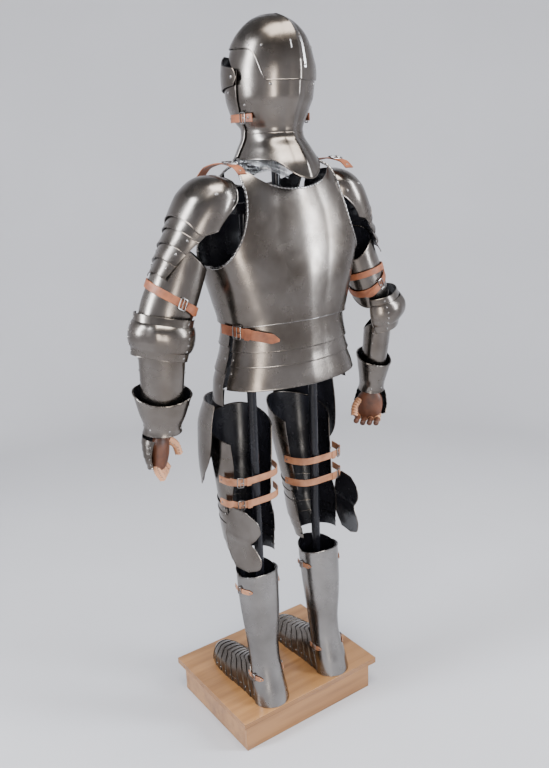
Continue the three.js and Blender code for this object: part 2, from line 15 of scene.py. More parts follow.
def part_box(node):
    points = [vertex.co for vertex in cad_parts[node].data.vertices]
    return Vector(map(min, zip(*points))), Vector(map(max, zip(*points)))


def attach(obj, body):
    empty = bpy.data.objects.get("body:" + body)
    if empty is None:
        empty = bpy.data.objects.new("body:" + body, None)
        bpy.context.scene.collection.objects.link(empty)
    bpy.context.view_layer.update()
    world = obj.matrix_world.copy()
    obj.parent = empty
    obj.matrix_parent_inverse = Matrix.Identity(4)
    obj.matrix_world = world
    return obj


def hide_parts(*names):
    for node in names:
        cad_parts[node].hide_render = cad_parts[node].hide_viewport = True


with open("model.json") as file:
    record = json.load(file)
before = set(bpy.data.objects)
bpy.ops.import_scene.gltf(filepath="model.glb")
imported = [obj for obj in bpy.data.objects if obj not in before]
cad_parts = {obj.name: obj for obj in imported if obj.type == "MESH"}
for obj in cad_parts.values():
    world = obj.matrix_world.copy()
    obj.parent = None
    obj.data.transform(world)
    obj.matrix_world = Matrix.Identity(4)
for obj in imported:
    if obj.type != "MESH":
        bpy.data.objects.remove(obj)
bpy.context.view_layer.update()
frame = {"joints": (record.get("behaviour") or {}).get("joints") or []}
log = logging.getLogger("armour")

MM = 0.001
PLATE = 1.6
LEATHER = 3.0
LAYER = 4.2
Edge = Callable[[np.ndarray], np.ndarray]


class Side(Enum):
    """The side of the suit, by the sign of X."""

    LEFT = 1
    RIGHT = -1

    @property
    def word(self) -> str:
        """The side's name as the nodes spell it."""
        return self.name.lower()


# ---------------------------------------------------------------- curves and sections
def smooth(xs: Sequence[float], ys: Sequence[float], at: np.ndarray) -> np.ndarray:
    """A curve through points that never overshoots them, straight beyond its ends.

    Args:
        xs: rising places.
        ys: the value at each place.
        at: where to read the curve.

    Returns:
        The curve's values at those places.
    """
    x, y, at = np.asarray(xs, float), np.asarray(ys, float), np.asarray(at, float)
    h = np.diff(x)
    slope = np.diff(y) / h
    tangent = np.zeros_like(y)
    tangent[0], tangent[-1] = slope[0], slope[-1]
    if len(x) > 2:
        a, b = slope[:-1], slope[1:]
        turning = a * b <= 0
        safe_a, safe_b = np.where(turning, 1.0, a), np.where(turning, 1.0, b)
        near, far = 2 * h[1:] + h[:-1], h[1:] + 2 * h[:-1]
        tangent[1:-1] = np.where(turning, 0.0, (near + far) / (near / safe_a + far / safe_b))
    k = np.clip(np.searchsorted(x, at) - 1, 0, len(x) - 2)
    raw = (at - x[k]) / h[k]
    t = np.clip(raw, 0, 1)
    curve = (
        (1 + 2 * t) * (1 - t) ** 2 * y[k]
        + t * (1 - t) ** 2 * h[k] * tangent[k]
        + t * t * (3 - 2 * t) * y[k + 1]
        + t * t * (t - 1) * h[k] * tangent[k + 1]
    )
    return curve + (raw - t) * h[k] * np.where(raw < t, tangent[k], tangent[k + 1])


def edge(*pairs: tuple[float, float]) -> Edge:
    """An edge line through a few (place, value) pairs."""
    xs, ys = zip(*pairs)
    return lambda at: smooth(xs, ys, np.clip(at, xs[0], xs[-1]))


def flat(value: float) -> Edge:
    """An edge line at one value."""
    return lambda at: np.full(np.shape(at), float(value))


def as_edge(value: "float | Edge") -> Edge:
    """The value itself if it is already an edge line, or a flat one."""
    return value if callable(value) else flat(value)


class Sections:
    """A body of closed sections, one row for each level, in millimetres."""

    def __init__(self, columns: str, rows: Sequence[Sequence[float]]) -> None:
        """Keeps each named column of the rows."""
        names = columns.split()
        self.column = {name: [row[i] for row in rows] for i, name in enumerate(names)}
        self.column.setdefault("f", self.column["b"])

    def at(self, name: str, z: np.ndarray, default: float = 0.0) -> np.ndarray:
        """A column's value at each level."""
        if name not in self.column:
            return np.full(np.shape(z), default)
        return smooth(self.column["z"], self.column[name], z)

    def points(
        self, angle: np.ndarray, z: np.ndarray, out: np.ndarray = 0.0, crease: float = 0.0
    ) -> np.ndarray:
        """Points of the surface.

        Args:
            angle: degrees round the section: 0 the left or outer side, 90 the back, -90 the front.
            z: the level.
            out: how far outside the section.
            crease: the height of a medial ridge.

        Returns:
            An array whose last axis is x, y, z.
        """
        angle, z = np.broadcast_arrays(np.asarray(angle, float), np.asarray(z, float))
        c, s = np.cos(np.radians(angle)), np.sin(np.radians(angle))
        power = 2 / self.at("n", z, 2.0)
        across = np.sign(c) * np.abs(c) ** power
        along = np.sign(s) * np.abs(s) ** power
        reach = np.where(s > 0, self.at("b", z), self.at("f", z))
        ridge = crease * np.maximum(0, 1 - np.abs(c) / 0.22)
        x = self.at("cx", z) + (self.at("w", z) + out) * across
        y = self.at("cy", z) + (reach + out + ridge) * along
        return np.stack([x, y, z], axis=-1)

    def frame_at(
        self, angle: float, z: float, out: float = 0.0, crease: float = 0.0
    ) -> tuple[Vector, Vector]:
        """A point of the surface and its outward normal."""
        here = self.points(angle, z, out, crease)
        turn = self.points(angle + 0.5, z, out, crease) - here
        rise = self.points(angle, z + 1.0, out, crease) - here
        return Vector(here), Vector(np.cross(turn, rise)).normalized()

    def patch(
        self,
        start: "float | Edge",
        end: "float | Edge",
        bottom: "float | Edge",
        top: "float | Edge",
        out: float = 0.0,
        crease: float = 0.0,
        columns: int = 48,
        levels: "int | np.ndarray" = 24,
    ) -> np.ndarray:
        """A grid of points between four edges.

        Args:
            start: the first angle, by level.
            end: the last angle, by level.
            bottom: the lower edge's level, by share of the way round.
            top: the upper edge's level, by share of the way round.
            out: how far outside the sections.
            crease: the height of a medial ridge.
            columns: how many steps round.
            levels: how many steps up, or rows of [share of the height, step outward].

        Returns:
            The grid as [level, column, xyz].
        """
        share = np.linspace(0, 1, columns + 1)
        if isinstance(levels, int):
            levels = np.stack([np.linspace(0, 1, levels + 1), np.zeros(levels + 1)], axis=1)
        height, lift = levels[:, :1], levels[:, 1:]
        z = as_edge(bottom)(share) * (1 - height) + as_edge(top)(share) * height
        first, last = as_edge(start)(z), as_edge(end)(z)
        return self.points(first + (last - first) * share, z, out + lift, crease)


def domed(count: int) -> np.ndarray:
    """Levels that crowd together towards the top, for a crown."""
    height = np.sin(np.linspace(0, math.pi / 2, count + 1))
    return np.stack([height, np.zeros(count + 1)], axis=1)


def lapped(count: int, rise: float, steps: int = 5) -> np.ndarray:
    """Levels of overlapping lames, each one's lower edge standing proud of the next.

    Args:
        count: how many lames.
        rise: how far each lower edge stands off.
        steps: the levels in each lame.

    Returns:
        Rows of [share of the height, step outward].
    """
    rows = []
    for k in range(count):
        rows += [[(k + 0.985 * t) / count, rise * (1 - t)] for t in np.linspace(0, 1, steps)]
    rows[-1][0] = 1.0
    return np.array(rows)


def lifted(grid: np.ndarray, distance: float, closed: bool = False) -> np.ndarray:
    """The grid moved out along its own normals."""
    if closed:
        around = np.roll(grid, -1, 1) - np.roll(grid, 1, 1)
    else:
        around = np.gradient(grid, axis=1)
    normal = np.cross(around, np.gradient(grid, axis=0))
    length = np.linalg.norm(normal, axis=-1, keepdims=True)
    return grid + distance * normal / np.maximum(length, 1e-9)


def through(points: Sequence[Sequence[float]], count: int) -> np.ndarray:
    """A smooth path through a few points, in even steps of its length."""
    p = np.asarray(points, float)
    run = np.concatenate([[0], np.cumsum(np.linalg.norm(np.diff(p, axis=0), axis=1))])
    at = np.linspace(0, run[-1], count)
    return np.stack([smooth(run, p[:, i], at) for i in range(3)], axis=-1)


# ---------------------------------------------------------------- finishes
class Nodes:
    """A short way to write a material's nodes."""

    def __init__(self, name: str) -> None:
        """Starts an empty material with its shader."""
        self.material = bpy.data.materials.new(name)
        self.material.use_nodes = True
        self.tree = self.material.node_tree
        self.shader = self.tree.nodes["Principled BSDF"]
        self.place = self.add("ShaderNodeTexCoord").outputs["Object"]

    def add(self, kind: str, **settings: object) -> bpy.types.Node:
        """A node with some of its settings or unlinked inputs set."""
        node = self.tree.nodes.new(kind)
        for key, value in settings.items():
            if hasattr(node, key):
                setattr(node, key, value)
            else:
                node.inputs[key.replace("_", " ")].default_value = value
        return node

    def link(self, source: object, target: object) -> None:
        """Joins an output to an input."""
        self.tree.links.new(source, target)

    def stretched(self, scale: tuple[float, float, float]) -> object:
        """The object's own coordinates, scaled on each axis."""
        mapping = self.add("ShaderNodeMapping")
        mapping.inputs["Scale"].default_value = scale
        self.link(self.place, mapping.inputs["Vector"])
        return mapping.outputs["Vector"]

    def noise(self, scale: float, detail: float = 4.0, vector: object = None) -> object:
        """Cloudy noise from 0 to 1."""
        node = self.add("ShaderNodeTexNoise", Scale=scale, Detail=detail)
        self.link(vector or self.place, node.inputs["Vector"])
        return node.outputs["Fac"]

    def ramp(self, value: object, stops: Sequence[tuple[float, tuple[float, ...]]]) -> object:
        """A colour for each value, from a few stops."""
        node = self.add("ShaderNodeValToRGB")
        self.link(value, node.inputs["Fac"])
        elements = node.color_ramp.elements
        while len(elements) < len(stops):
            elements.new(0.5)
        for element, (position, colour) in zip(elements, stops):
            element.position = position
            element.color = (*colour, 1.0)
        return node.outputs["Color"]

    def span(self, value: object, low: float, high: float) -> object:
        """A value from 0.3..0.7 spread over another range."""
        node = self.add("ShaderNodeMapRange")
        node.inputs["From Min"].default_value = 0.3
        node.inputs["From Max"].default_value = 0.7
        node.inputs["To Min"].default_value = low
        node.inputs["To Max"].default_value = high
        self.link(value, node.inputs["Value"])
        return node.outputs["Result"]

    def bump(self, height: object, distance: float, before: object = None) -> object:
        """A bumped normal, in metres of height."""
        node = self.add("ShaderNodeBump", Strength=1.0, Distance=distance)
        self.link(height, node.inputs["Height"])
        if before is not None:
            self.link(before, node.inputs["Normal"])
        return node.outputs["Normal"]

    def finish(self, colour: object, roughness: object, normal: object) -> bpy.types.Material:
        """Wires the three looks to the shader and gives the material."""
        self.link(colour, self.shader.inputs["Base Color"])
        self.link(roughness, self.shader.inputs["Roughness"])
        self.link(normal, self.shader.inputs["Normal"])
        return self.material


@dataclass(frozen=True)
class Steel:
    """Satin plate: hand-planished, finely brushed and a little browned."""

    name: str = "satin_steel"
    dark: tuple[float, float, float] = (0.105, 0.089, 0.075)
    light: tuple[float, float, float] = (0.170, 0.152, 0.136)
    rough: tuple[float, float] = (0.20, 0.30)
    planish: float = 0.00016
    brush: float = 0.000018

    def material(self) -> bpy.types.Material:
        """Builds the material."""
        n = Nodes(self.name)
        n.shader.inputs["Metallic"].default_value = 1.0
        patina = n.noise(9.0, 6.0)
        colour = n.ramp(patina, [(0.32, self.dark), (0.62, self.light)])
        roughness = n.span(n.noise(26.0, 5.0), *self.rough)
        hammered = n.bump(n.noise(22.0, 1.0), self.planish)
        brushed = n.bump(n.noise(1.0, 2.0, n.stretched((1400.0, 1400.0, 60.0))), self.brush, hammered)
        return n.finish(colour, roughness, brushed)


@dataclass(frozen=True)
class Paint:
    """Black enamel, as on the poles and inside the plates."""

    name: str = "black_enamel"
    colour: tuple[float, float, float] = (0.006, 0.006, 0.008)
    rough: tuple[float, float] = (0.18, 0.30)

    def material(self) -> bpy.types.Material:
        """Builds the material."""
        n = Nodes(self.name)
        n.shader.inputs["Specular IOR Level"].default_value = 0.3
        lighter = tuple(c * 2.0 for c in self.colour)
        colour = n.ramp(n.noise(14.0), [(0.35, self.colour), (0.7, lighter)])
        roughness = n.span(n.noise(30.0), *self.rough)
        return n.finish(colour, roughness, n.bump(n.noise(160.0, 2.0), 0.00004))


@dataclass(frozen=True)
class Hide:
    """Leather with its grain and uneven dye."""

    name: str
    dark: tuple[float, float, float]
    light: tuple[float, float, float]
    rough: tuple[float, float] = (0.42, 0.62)
    grain: float = 0.00012

    def material(self) -> bpy.types.Material:
        """Builds the material."""
        n = Nodes(self.name)
        dye = n.noise(38.0, 6.0)
        colour = n.ramp(dye, [(0.3, self.dark), (0.66, self.light)])
        pores = n.add("ShaderNodeTexVoronoi", Scale=900.0)
        n.link(n.place, pores.inputs["Vector"])
        soft = n.bump(n.noise(130.0, 4.0), self.grain)
        grained = n.bump(pores.outputs["Distance"], self.grain * 0.5, soft)
        return n.finish(colour, n.span(n.noise(90.0), *self.rough), grained)


@dataclass(frozen=True)
class Plywood:
    """Varnished plywood: long grain on its faces and thin plies on its edges."""

    name: str = "varnished_plywood"
    dark: tuple[float, float, float] = (0.17, 0.070, 0.020)
    light: tuple[float, float, float] = (0.33, 0.160, 0.055)

    def material(self) -> bpy.types.Material:
        """Builds the material."""
        n = Nodes(self.name)
        n.shader.inputs["Coat Weight"].default_value = 0.35
        n.shader.inputs["Coat Roughness"].default_value = 0.18
        grain = n.noise(1.0, 8.0, n.stretched((3.0, 46.0, 46.0)))
        figure = n.noise(1.0, 3.0, n.stretched((1.2, 7.0, 7.0)))
        both = n.add("ShaderNodeMath", operation="ADD")
        n.link(grain, both.inputs[0])
        n.link(figure, both.inputs[1])
        half = n.add("ShaderNodeMath", operation="MULTIPLY")
        half.inputs[1].default_value = 0.5
        n.link(both.outputs[0], half.inputs[0])
        face = n.ramp(half.outputs[0], [(0.36, self.dark), (0.6, self.light)])
        return n.finish(face, n.span(figure, 0.28, 0.42), n.bump(grain, 0.00012))


@dataclass(frozen=True)
class Backing:
    """The pale studio floor and wall."""

    name: str = "studio_paper"
    colour: tuple[float, float, float] = (0.52, 0.515, 0.53)

    def material(self) -> bpy.types.Material:
        """Builds the material."""
        n = Nodes(self.name)
        darker = tuple(c * 0.96 for c in self.colour)
        colour = n.ramp(n.noise(1.2, 3.0), [(0.35, darker), (0.65, self.colour)])
        return n.finish(colour, n.span(n.noise(3.0), 0.75, 0.9), n.bump(n.noise(40.0), 0.0001))


class Finish(Enum):
    """Every finish of the suit and its stand."""

    STEEL = Steel()
    BRIGHT = Steel("bright_steel", (0.175, 0.164, 0.155), (0.26, 0.248, 0.238), (0.20, 0.30))
    MAIL = Steel("mail_steel", (0.34, 0.345, 0.35), (0.60, 0.61, 0.62), (0.22, 0.34), 0.00001, 0.00001)
    ENAMEL = Paint()
    TAN = Hide("tan_strap", (0.13, 0.036, 0.013), (0.29, 0.092, 0.034))
    PALE = Hide("pale_strap", (0.25, 0.100, 0.045), (0.43, 0.195, 0.098))
    GLOVE = Hide("glove_leather", (0.055, 0.014, 0.006), (0.21, 0.058, 0.018))
    DARK_SKIN = Hide("glove_palm", (0.05, 0.018, 0.009), (0.13, 0.045, 0.02))
    WOOD = Plywood()
    WOOD_END = Plywood("plywood_end_grain", (0.10, 0.038, 0.011), (0.19, 0.085, 0.029))

    def get(self) -> bpy.types.Material:
        """The material, made once."""
        known = bpy.data.materials.get(self.value.name)
        return known or self.value.material()


# ---------------------------------------------------------------- forms
class Form:
    """One piece in the making: points in millimetres, and faces that each know their finish."""

    def __init__(self, *finishes: Finish) -> None:
        """Starts empty, with the finishes that its faces may name by number."""
        self.finishes = list(finishes)
        self.points: list[np.ndarray] = []
        self.faces: list[tuple[int, ...]] = []
        self.tints: list[int] = []
        self.count = 0

    def tint_of(self, finish: Finish) -> int:
        """A finish's number on this form, added if it is new."""
        if finish not in self.finishes:
            self.finishes.append(finish)
        return self.finishes.index(finish)

    def put(self, points: np.ndarray, faces: Sequence[Sequence[int]], tint: int = 0) -> None:
        """Adds points and the faces on them."""
        base = self.count
        self.points.append(np.asarray(points, float).reshape(-1, 3))
        self.count += len(self.points[-1])
        self.faces += [tuple(base + i for i in face) for face in faces]
        self.tints += [tint] * len(faces)

    def wall(
        self,
        grid: np.ndarray,
        thickness: float = PLATE,
        closed: bool = False,
        inside: int = 1,
        outside: int = 0,
    ) -> None:
        """A wall whose inner face is the grid.

        Args:
            grid: the points as [level, column, xyz].
            thickness: how far the outer face stands off.
            closed: whether the last column meets the first.
            inside: the inner face's finish.
            outside: the finish of the outer face and the rims.
        """
        inner = grid[:, :-1] if closed else grid
        rows, columns = inner.shape[:2]
        outer = lifted(inner, thickness, closed)
        size = rows * columns
        spans = columns if closed else columns - 1
        skin, lining, rims = [], [], []

        def at(row: int, column: int, far: bool) -> int:
            """A point's number on either face."""
            return row * columns + column % columns + (size if far else 0)

        for i in range(spans):
            for j in range(rows - 1):
                skin.append((at(j, i, True), at(j, i + 1, True), at(j + 1, i + 1, True), at(j + 1, i, True)))
                lining.append(
                    (at(j, i, False), at(j + 1, i, False), at(j + 1, i + 1, False), at(j, i + 1, False))
                )
            rims.append((at(0, i, True), at(0, i, False), at(0, i + 1, False), at(0, i + 1, True)))
            top = rows - 1
            rims.append((at(top, i, True), at(top, i + 1, True), at(top, i + 1, False), at(top, i, False)))
        if not closed:
            last = columns - 1
            for j in range(rows - 1):
                rims.append((at(j, 0, True), at(j + 1, 0, True), at(j + 1, 0, False), at(j, 0, False)))
                rims.append(
                    (at(j, last, True), at(j, last, False), at(j + 1, last, False), at(j + 1, last, True))
                )
        points = np.concatenate([inner.reshape(-1, 3), outer.reshape(-1, 3)])
        self.put(points, skin, outside)
        base = self.count - len(points)
        for faces, tint in ((lining, inside), (rims, outside)):
            self.faces += [tuple(base + i for i in face) for face in faces]
            self.tints += [tint] * len(faces)

    def tube(
        self,
        path: np.ndarray,
        radius: float,
        closed: bool = False,
        sides: int = 8,
        rope: float = 0.0,
        tint: int = 0,
    ) -> None:
        """A round bar along a path, with an optional roped turn.

        Args:
            path: points along its middle.
            radius: its radius.
            closed: whether it joins its own start.
            sides: the corners of its section.
            rope: the depth of a twisted pattern.
            tint: its finish.
        """
        path = np.asarray(path, float)
        ahead = np.roll(path, -1, 0) - np.roll(path, 1, 0) if closed else np.gradient(path, axis=0)
        ahead /= np.maximum(np.linalg.norm(ahead, axis=1, keepdims=True), 1e-9)
        side = np.cross(ahead[0], [0.31, 0.17, 0.93])
        sides_at = []
        for direction in ahead:
            side = side - direction * np.dot(side, direction)
            side = side / max(np.linalg.norm(side), 1e-9)
            sides_at.append(side)
        across = np.array(sides_at)
        lift = np.cross(ahead, across)
        turn = np.linspace(0, 2 * math.pi, sides, endpoint=False)
        run = np.arange(len(path))[:, None]
        size = radius + rope * np.sin(3 * turn[None] + 1.3 * run)
        spoke = np.cos(turn)[None, :, None] * across[:, None] + np.sin(turn)[None, :, None] * lift[:, None]
        ring = size[..., None] * spoke
        points = (path[:, None] + ring).reshape(-1, 3)
        faces = []
        for j in range(len(path) if closed else len(path) - 1):
            low, high = j * sides, (j + 1) % len(path) * sides
            for i in range(sides):
                k = (i + 1) % sides
                faces.append((low + i, low + k, high + k, high + i))
        if not closed:
            faces.append(tuple(range(sides))[::-1])
            faces.append(tuple((len(path) - 1) * sides + i for i in range(sides)))
        self.put(points, faces, tint)

    def rivet(self, point: Vector, normal: Vector, radius: float = 3.2, tint: int = 0) -> None:
        """A domed rivet head on a surface."""
        normal = normal.normalized()
        side = normal.orthogonal().normalized()
        lift = normal.cross(side)
        points, faces, sides = [], [], 12
        for rise, width in ((-0.3, 1.0), (0.12, 1.0), (0.42, 0.78), (0.56, 0.42)):
            for i in range(sides):
                turn = 2 * math.pi * i / sides
                flat_part = side * math.cos(turn) + lift * math.sin(turn)
                points.append(point + normal * (rise * radius) + flat_part * (width * radius))
        for j in range(3):
            for i in range(sides):
                k = (i + 1) % sides
                faces.append((j * sides + i, j * sides + k, (j + 1) * sides + k, (j + 1) * sides + i))
        points.append(point + normal * (0.62 * radius))
        faces += [(3 * sides + i, 3 * sides + (i + 1) % sides, 4 * sides) for i in range(sides)]
        faces.append(tuple(range(sides))[::-1])
        self.put(np.array([tuple(p) for p in points]), faces, tint)

    def ribbon(
        self,
        path: np.ndarray,
        across: np.ndarray,
        width: float,
        thickness: float = LEATHER,
        pointed: bool = False,
        tint: int = 0,
    ) -> None:
        """A strap with softened edges along a path.

        Args:
            path: points along its middle.
            across: the direction of its width at each point.
            width: its width.
            thickness: its thickness.
            pointed: whether its far end is cut to a point.
            tint: its finish.
        """
        path = np.asarray(path, float)
        across = np.broadcast_to(np.asarray(across, float), path.shape).copy()
        ahead = np.gradient(path, axis=0)
        ahead /= np.linalg.norm(ahead, axis=1, keepdims=True)
        across -= ahead * np.sum(across * ahead, axis=1, keepdims=True)
        across /= np.linalg.norm(across, axis=1, keepdims=True)
        normal = np.cross(ahead, across)
        half, thick, soft = width / 2, thickness / 2, min(0.9, thickness / 3)
        profile = [
            (-half, -thick + soft), (-half + soft, -thick), (half - soft, -thick), (half, -thick + soft),
            (half, thick - soft), (half - soft, thick), (-half + soft, thick), (-half, thick - soft),
        ]
        narrow = np.ones(len(path))
        if pointed:
            run = np.linalg.norm(path - path[-1], axis=1)
            narrow = np.clip(0.25 + 0.75 * run / (0.7 * width), 0.25, 1.0)
        rows = [path + across * (u * narrow)[:, None] + normal * v for u, v in profile]
        points = np.stack(rows, axis=1).reshape(-1, 3)
        faces, size = [], len(profile)
        for j in range(len(path) - 1):
            for i in range(size):
                k = (i + 1) % size
                faces.append((j * size + i, j * size + k, (j + 1) * size + k, (j + 1) * size + i))
        faces.append(tuple(range(size))[::-1])
        faces.append(tuple((len(path) - 1) * size + i for i in range(size)))
        self.put(points, faces, tint)

    def buckle(self, middle: Vector, along: Vector, across: Vector, width: float, tint: int = 1) -> None:
        """A wire buckle lying on a strap: a rounded frame, its bar and its tongue."""
        along, across = along.normalized(), across.normalized()
        normal = along.cross(across)
        half_w, half_l, corner = width / 2 + 3.5, width * 0.42, 3.5
        outline = []
        for sx, sy, first in ((1, 1, 0), (-1, 1, 90), (-1, -1, 180), (1, -1, 270)):
            for step in range(5):
                turn = math.radians(first + 22.5 * step)
                u = sx * (half_l - corner) + corner * math.cos(turn)
                v = sy * (half_w - corner) + corner * math.sin(turn)
                outline.append(middle + along * u + across * v)
        self.tube(np.array([tuple(p) for p in outline]), 1.5, True, 8, tint=tint)
        bar = [middle - across * half_w, middle + across * half_w]
        self.tube(np.array([tuple(p) for p in bar]), 1.2, tint=tint)
        tongue = [
            middle,
            middle + normal * 2.4 + along * (half_l * 0.5),
            middle + normal * 1.6 + along * (half_l + 1.0),
        ]
        self.tube(np.array([tuple(p) for p in tongue]), 1.1, tint=tint)

    def block(self, low: Sequence[float], high: Sequence[float], tint: int = 0) -> None:
        """Adds a squared block between two corners, in millimetres."""
        corners = [(x, y, z) for z in (low[2], high[2]) for y in (low[1], high[1]) for x in (low[0], high[0])]
        faces = [(0, 2, 3, 1), (4, 5, 7, 6), (0, 1, 5, 4), (2, 6, 7, 3), (0, 4, 6, 2), (1, 3, 7, 5)]
        self.put(np.array(corners), faces, tint)

    def build(
        self,
        name: str,
        body: str,
        slot: str,
        place: Matrix,
        *nodes: str,
        crisp: float = 35.0,
        bevel: float = 0.0,
        cutters: Sequence["Form"] = (),
    ) -> bpy.types.Object:
        """Makes the object, dresses it and ties it to its body.

        Args:
            name: the piece's name.
            body: the body that carries it.
            slot: not used.
            place: where the form sits, in millimetres.
            nodes: the CAD nodes that it stands for.
            crisp: faces that meet at more than this many degrees keep a sharp edge.
            bevel: the width of a softened edge, or 0 for none.
            cutters: closed forms to cut away, in the same place.

        Returns:
            The finished object.
        """
        piece = self.raw(name, place, crisp)
        for cutter in cutters:
            carve(piece, cutter.raw("cutter", place, crisp))
        if cutters:
            piece.data.set_sharp_from_angle(angle=math.radians(crisp))
        if bevel:
            soft = piece.modifiers.new("softened edges", "BEVEL")
            soft.width, soft.segments, soft.angle_limit = bevel * MM, 2, math.radians(50)
            soft.harden_normals = False
        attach(piece, body)
        if nodes:
            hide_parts(*nodes)
        log.info("made %s on %s", name, body)
        return piece

    def raw(self, name: str, place: Matrix, crisp: float) -> bpy.types.Object:
        """The bare object, in metres and in the row's frame."""
        spun = np.asarray(place)
        points = (np.concatenate(self.points) @ spun[:3, :3].T + spun[:3, 3]) * MM
        faces = self.faces
        if place.determinant() < 0:
            faces = [face[::-1] for face in faces]
        mesh = bpy.data.meshes.new(name)
        mesh.from_pydata(points.tolist(), [], faces)
        for finish in self.finishes:
            mesh.materials.append(finish.get())
        mesh.polygons.foreach_set("material_index", self.tints)
        mesh.polygons.foreach_set("use_smooth", [True] * len(faces))
        mesh.set_sharp_from_angle(angle=math.radians(crisp))
        piece = bpy.data.objects.new(name, mesh)
        bpy.context.scene.collection.objects.link(piece)
        return piece


def carve(piece: bpy.types.Object, cutter: bpy.types.Object) -> None:
    """Cuts one object out of another and throws the cutter away."""
    cut = piece.modifiers.new("cut", "BOOLEAN")
    cut.operation, cut.solver, cut.object = "DIFFERENCE", "EXACT", cutter
    bpy.context.view_layer.update()
    solved = piece.evaluated_get(bpy.context.evaluated_depsgraph_get())
    mesh = bpy.data.meshes.new_from_object(solved)
    piece.modifiers.remove(cut)
    piece.data = mesh
    bpy.data.objects.remove(cutter)


def plate_form(
    grid: np.ndarray, closed: bool = False, rolls: str = "", radius: float = 1.9, rope: float = 0.0
) -> Form:
    """A steel plate blackened inside, with some of its edges rolled.

    Args:
        grid: the plate's inner face.
        closed: whether it goes all the way round.
        rolls: the edges with a roll, from b, t, s and e: bottom, top, start and end.
        radius: the roll's radius.
        rope: the depth of a roped pattern on the roll.

    Returns:
        The form, in steel and enamel.
    """
    form = Form(Finish.STEEL, Finish.ENAMEL)
    form.wall(grid, closed=closed)
    middle = lifted(grid[:, :-1] if closed else grid, PLATE / 2, closed)
    lines = {"b": middle[0], "t": middle[-1], "s": middle[:, 0], "e": middle[:, -1]}
    for letter in rolls:
        form.tube(lines[letter], radius, closed and letter in "bt", rope=rope)
    return form


def rivet_line(
    form: Form,
    rows: Sections,
    spots: Sequence[tuple[float, float]],
    out: float,
    size: float = 3.4,
    facing: float = 1.0,
) -> None:
    """Rivets on a surface.

    Args:
        form: the form that takes them.
        rows: the surface.
        spots: each rivet's angle and level.
        out: how far outside the sections the plate's outer face is.
        size: the radius of a head.
        facing: 1 on the outside, -1 on the inside.
    """
    for angle, z in spots:
        point, normal = rows.frame_at(angle, z, out)
        form.rivet(point, normal * facing, size, form.tint_of(Finish.BRIGHT))


# ---------------------------------------------------------------- stand
@dataclass
class Stand:
    """The plywood plinth, its two poles and the yoke that carries the suit."""

    board_wall: float = 15.0
    plies: int = 7
    inset: float = 0.35
    post: float = 11.0
    pad: tuple[float, float] = (46.0, 14.0)

    def rod(self, form: Form, path: Sequence[Sequence[float]], radius: float) -> None:
        """Adds a round rod with softened ends between two points."""
        low, high = np.array(path[0], float), np.array(path[1], float)
        way = (high - low) / np.linalg.norm(high - low)
        sections = [(low, radius - 1.0), (low + way, radius), (high - way, radius), (high, radius - 1.0)]
        side = np.cross(way, [0.0, 1.0, 0.0] if abs(way[1]) < 0.9 else [1.0, 0.0, 0.0])
        side /= np.linalg.norm(side)
        lift = np.cross(way, side)
        sides = 40
        turn = np.linspace(0, 2 * math.pi, sides, endpoint=False)[:, None]
        rings = [middle + r * (np.cos(turn) * side + np.sin(turn) * lift) for middle, r in sections]
        faces = []
        for j in range(3):
            here, above = j * sides, (j + 1) * sides
            for i in range(sides):
                after = (i + 1) % sides
                faces.append((here + i, here + after, above + after, above + i))
        faces += [tuple(range(sides))[::-1], tuple(range(3 * sides, 4 * sides))]
        form.put(np.concatenate(rings), faces)

    def build(self) -> None:
        """Makes the plinth, the poles and the yoke."""
        low, high = (np.array(corner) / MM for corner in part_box("plinth_board"))
        board = Form(Finish.WOOD, Finish.WOOD_END)
        step = (high[2] - low[2]) / self.plies
        for k in range(self.plies):
            inset = self.inset * (k % 2)
            a = [low[0] + inset, low[1] + inset, low[2] + k * step]
            b = [high[0] - inset, high[1] - inset, low[2] + (k + 1) * step]
            board.block(a, b, k % 2)
        board.build("plinth_top_board", "armour", "wood", Matrix(), "plinth_board", bevel=0.5)
        low, high = (np.array(corner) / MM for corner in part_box("plinth_box"))
        box, wall = Form(Finish.WOOD), self.board_wall
        for y in (low[1], high[1] - wall):
            box.block([low[0], y, low[2]], [high[0], y + wall, high[2]])
        for x in (low[0], high[0] - wall):
            box.block([x, low[1] + wall + 0.2, low[2]], [x + wall, high[1] - wall - 0.2, high[2]])
        box.build("plinth_frame", "armour", "wood", Matrix(), "plinth_box", bevel=0.9)
        for side in Side:
            low, high = (np.array(corner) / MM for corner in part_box(f"pole_{side.word}"))
            x, y, radius = (low[0] + high[0]) / 2, (low[1] + high[1]) / 2, (high[0] - low[0]) / 2
            pole = Form(Finish.ENAMEL)
            self.rod(pole, [(x, y, low[2]), (x, y, high[2])], radius)
            self.rod(pole, [(x, y, low[2]), (x, y, low[2] + 26)], radius + 3.5)
            pole.build(f"stand_pole_{side.word}", "armour", "pole", Matrix(), f"pole_{side.word}")
        low, high = (np.array(corner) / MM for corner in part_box("stand_yoke"))
        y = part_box("pole_left")[0][1] / MM + (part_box("pole_left")[1][1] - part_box("pole_left")[0][1]) / MM / 2
        yoke = Form(Finish.ENAMEL)
        yoke.block([low[0], y - 15, low[2]], [high[0], y + 15, low[2] + 26])
        self.rod(yoke, [(0, y, low[2] + 20), (0, y, high[2])], self.post)
        self.rod(yoke, [(0, y, high[2] - self.pad[1]), (0, y, high[2])], self.pad[0])
        yoke.build("stand_shoulder_yoke", "armour", "pole", Matrix(), "stand_yoke", bevel=1.0)


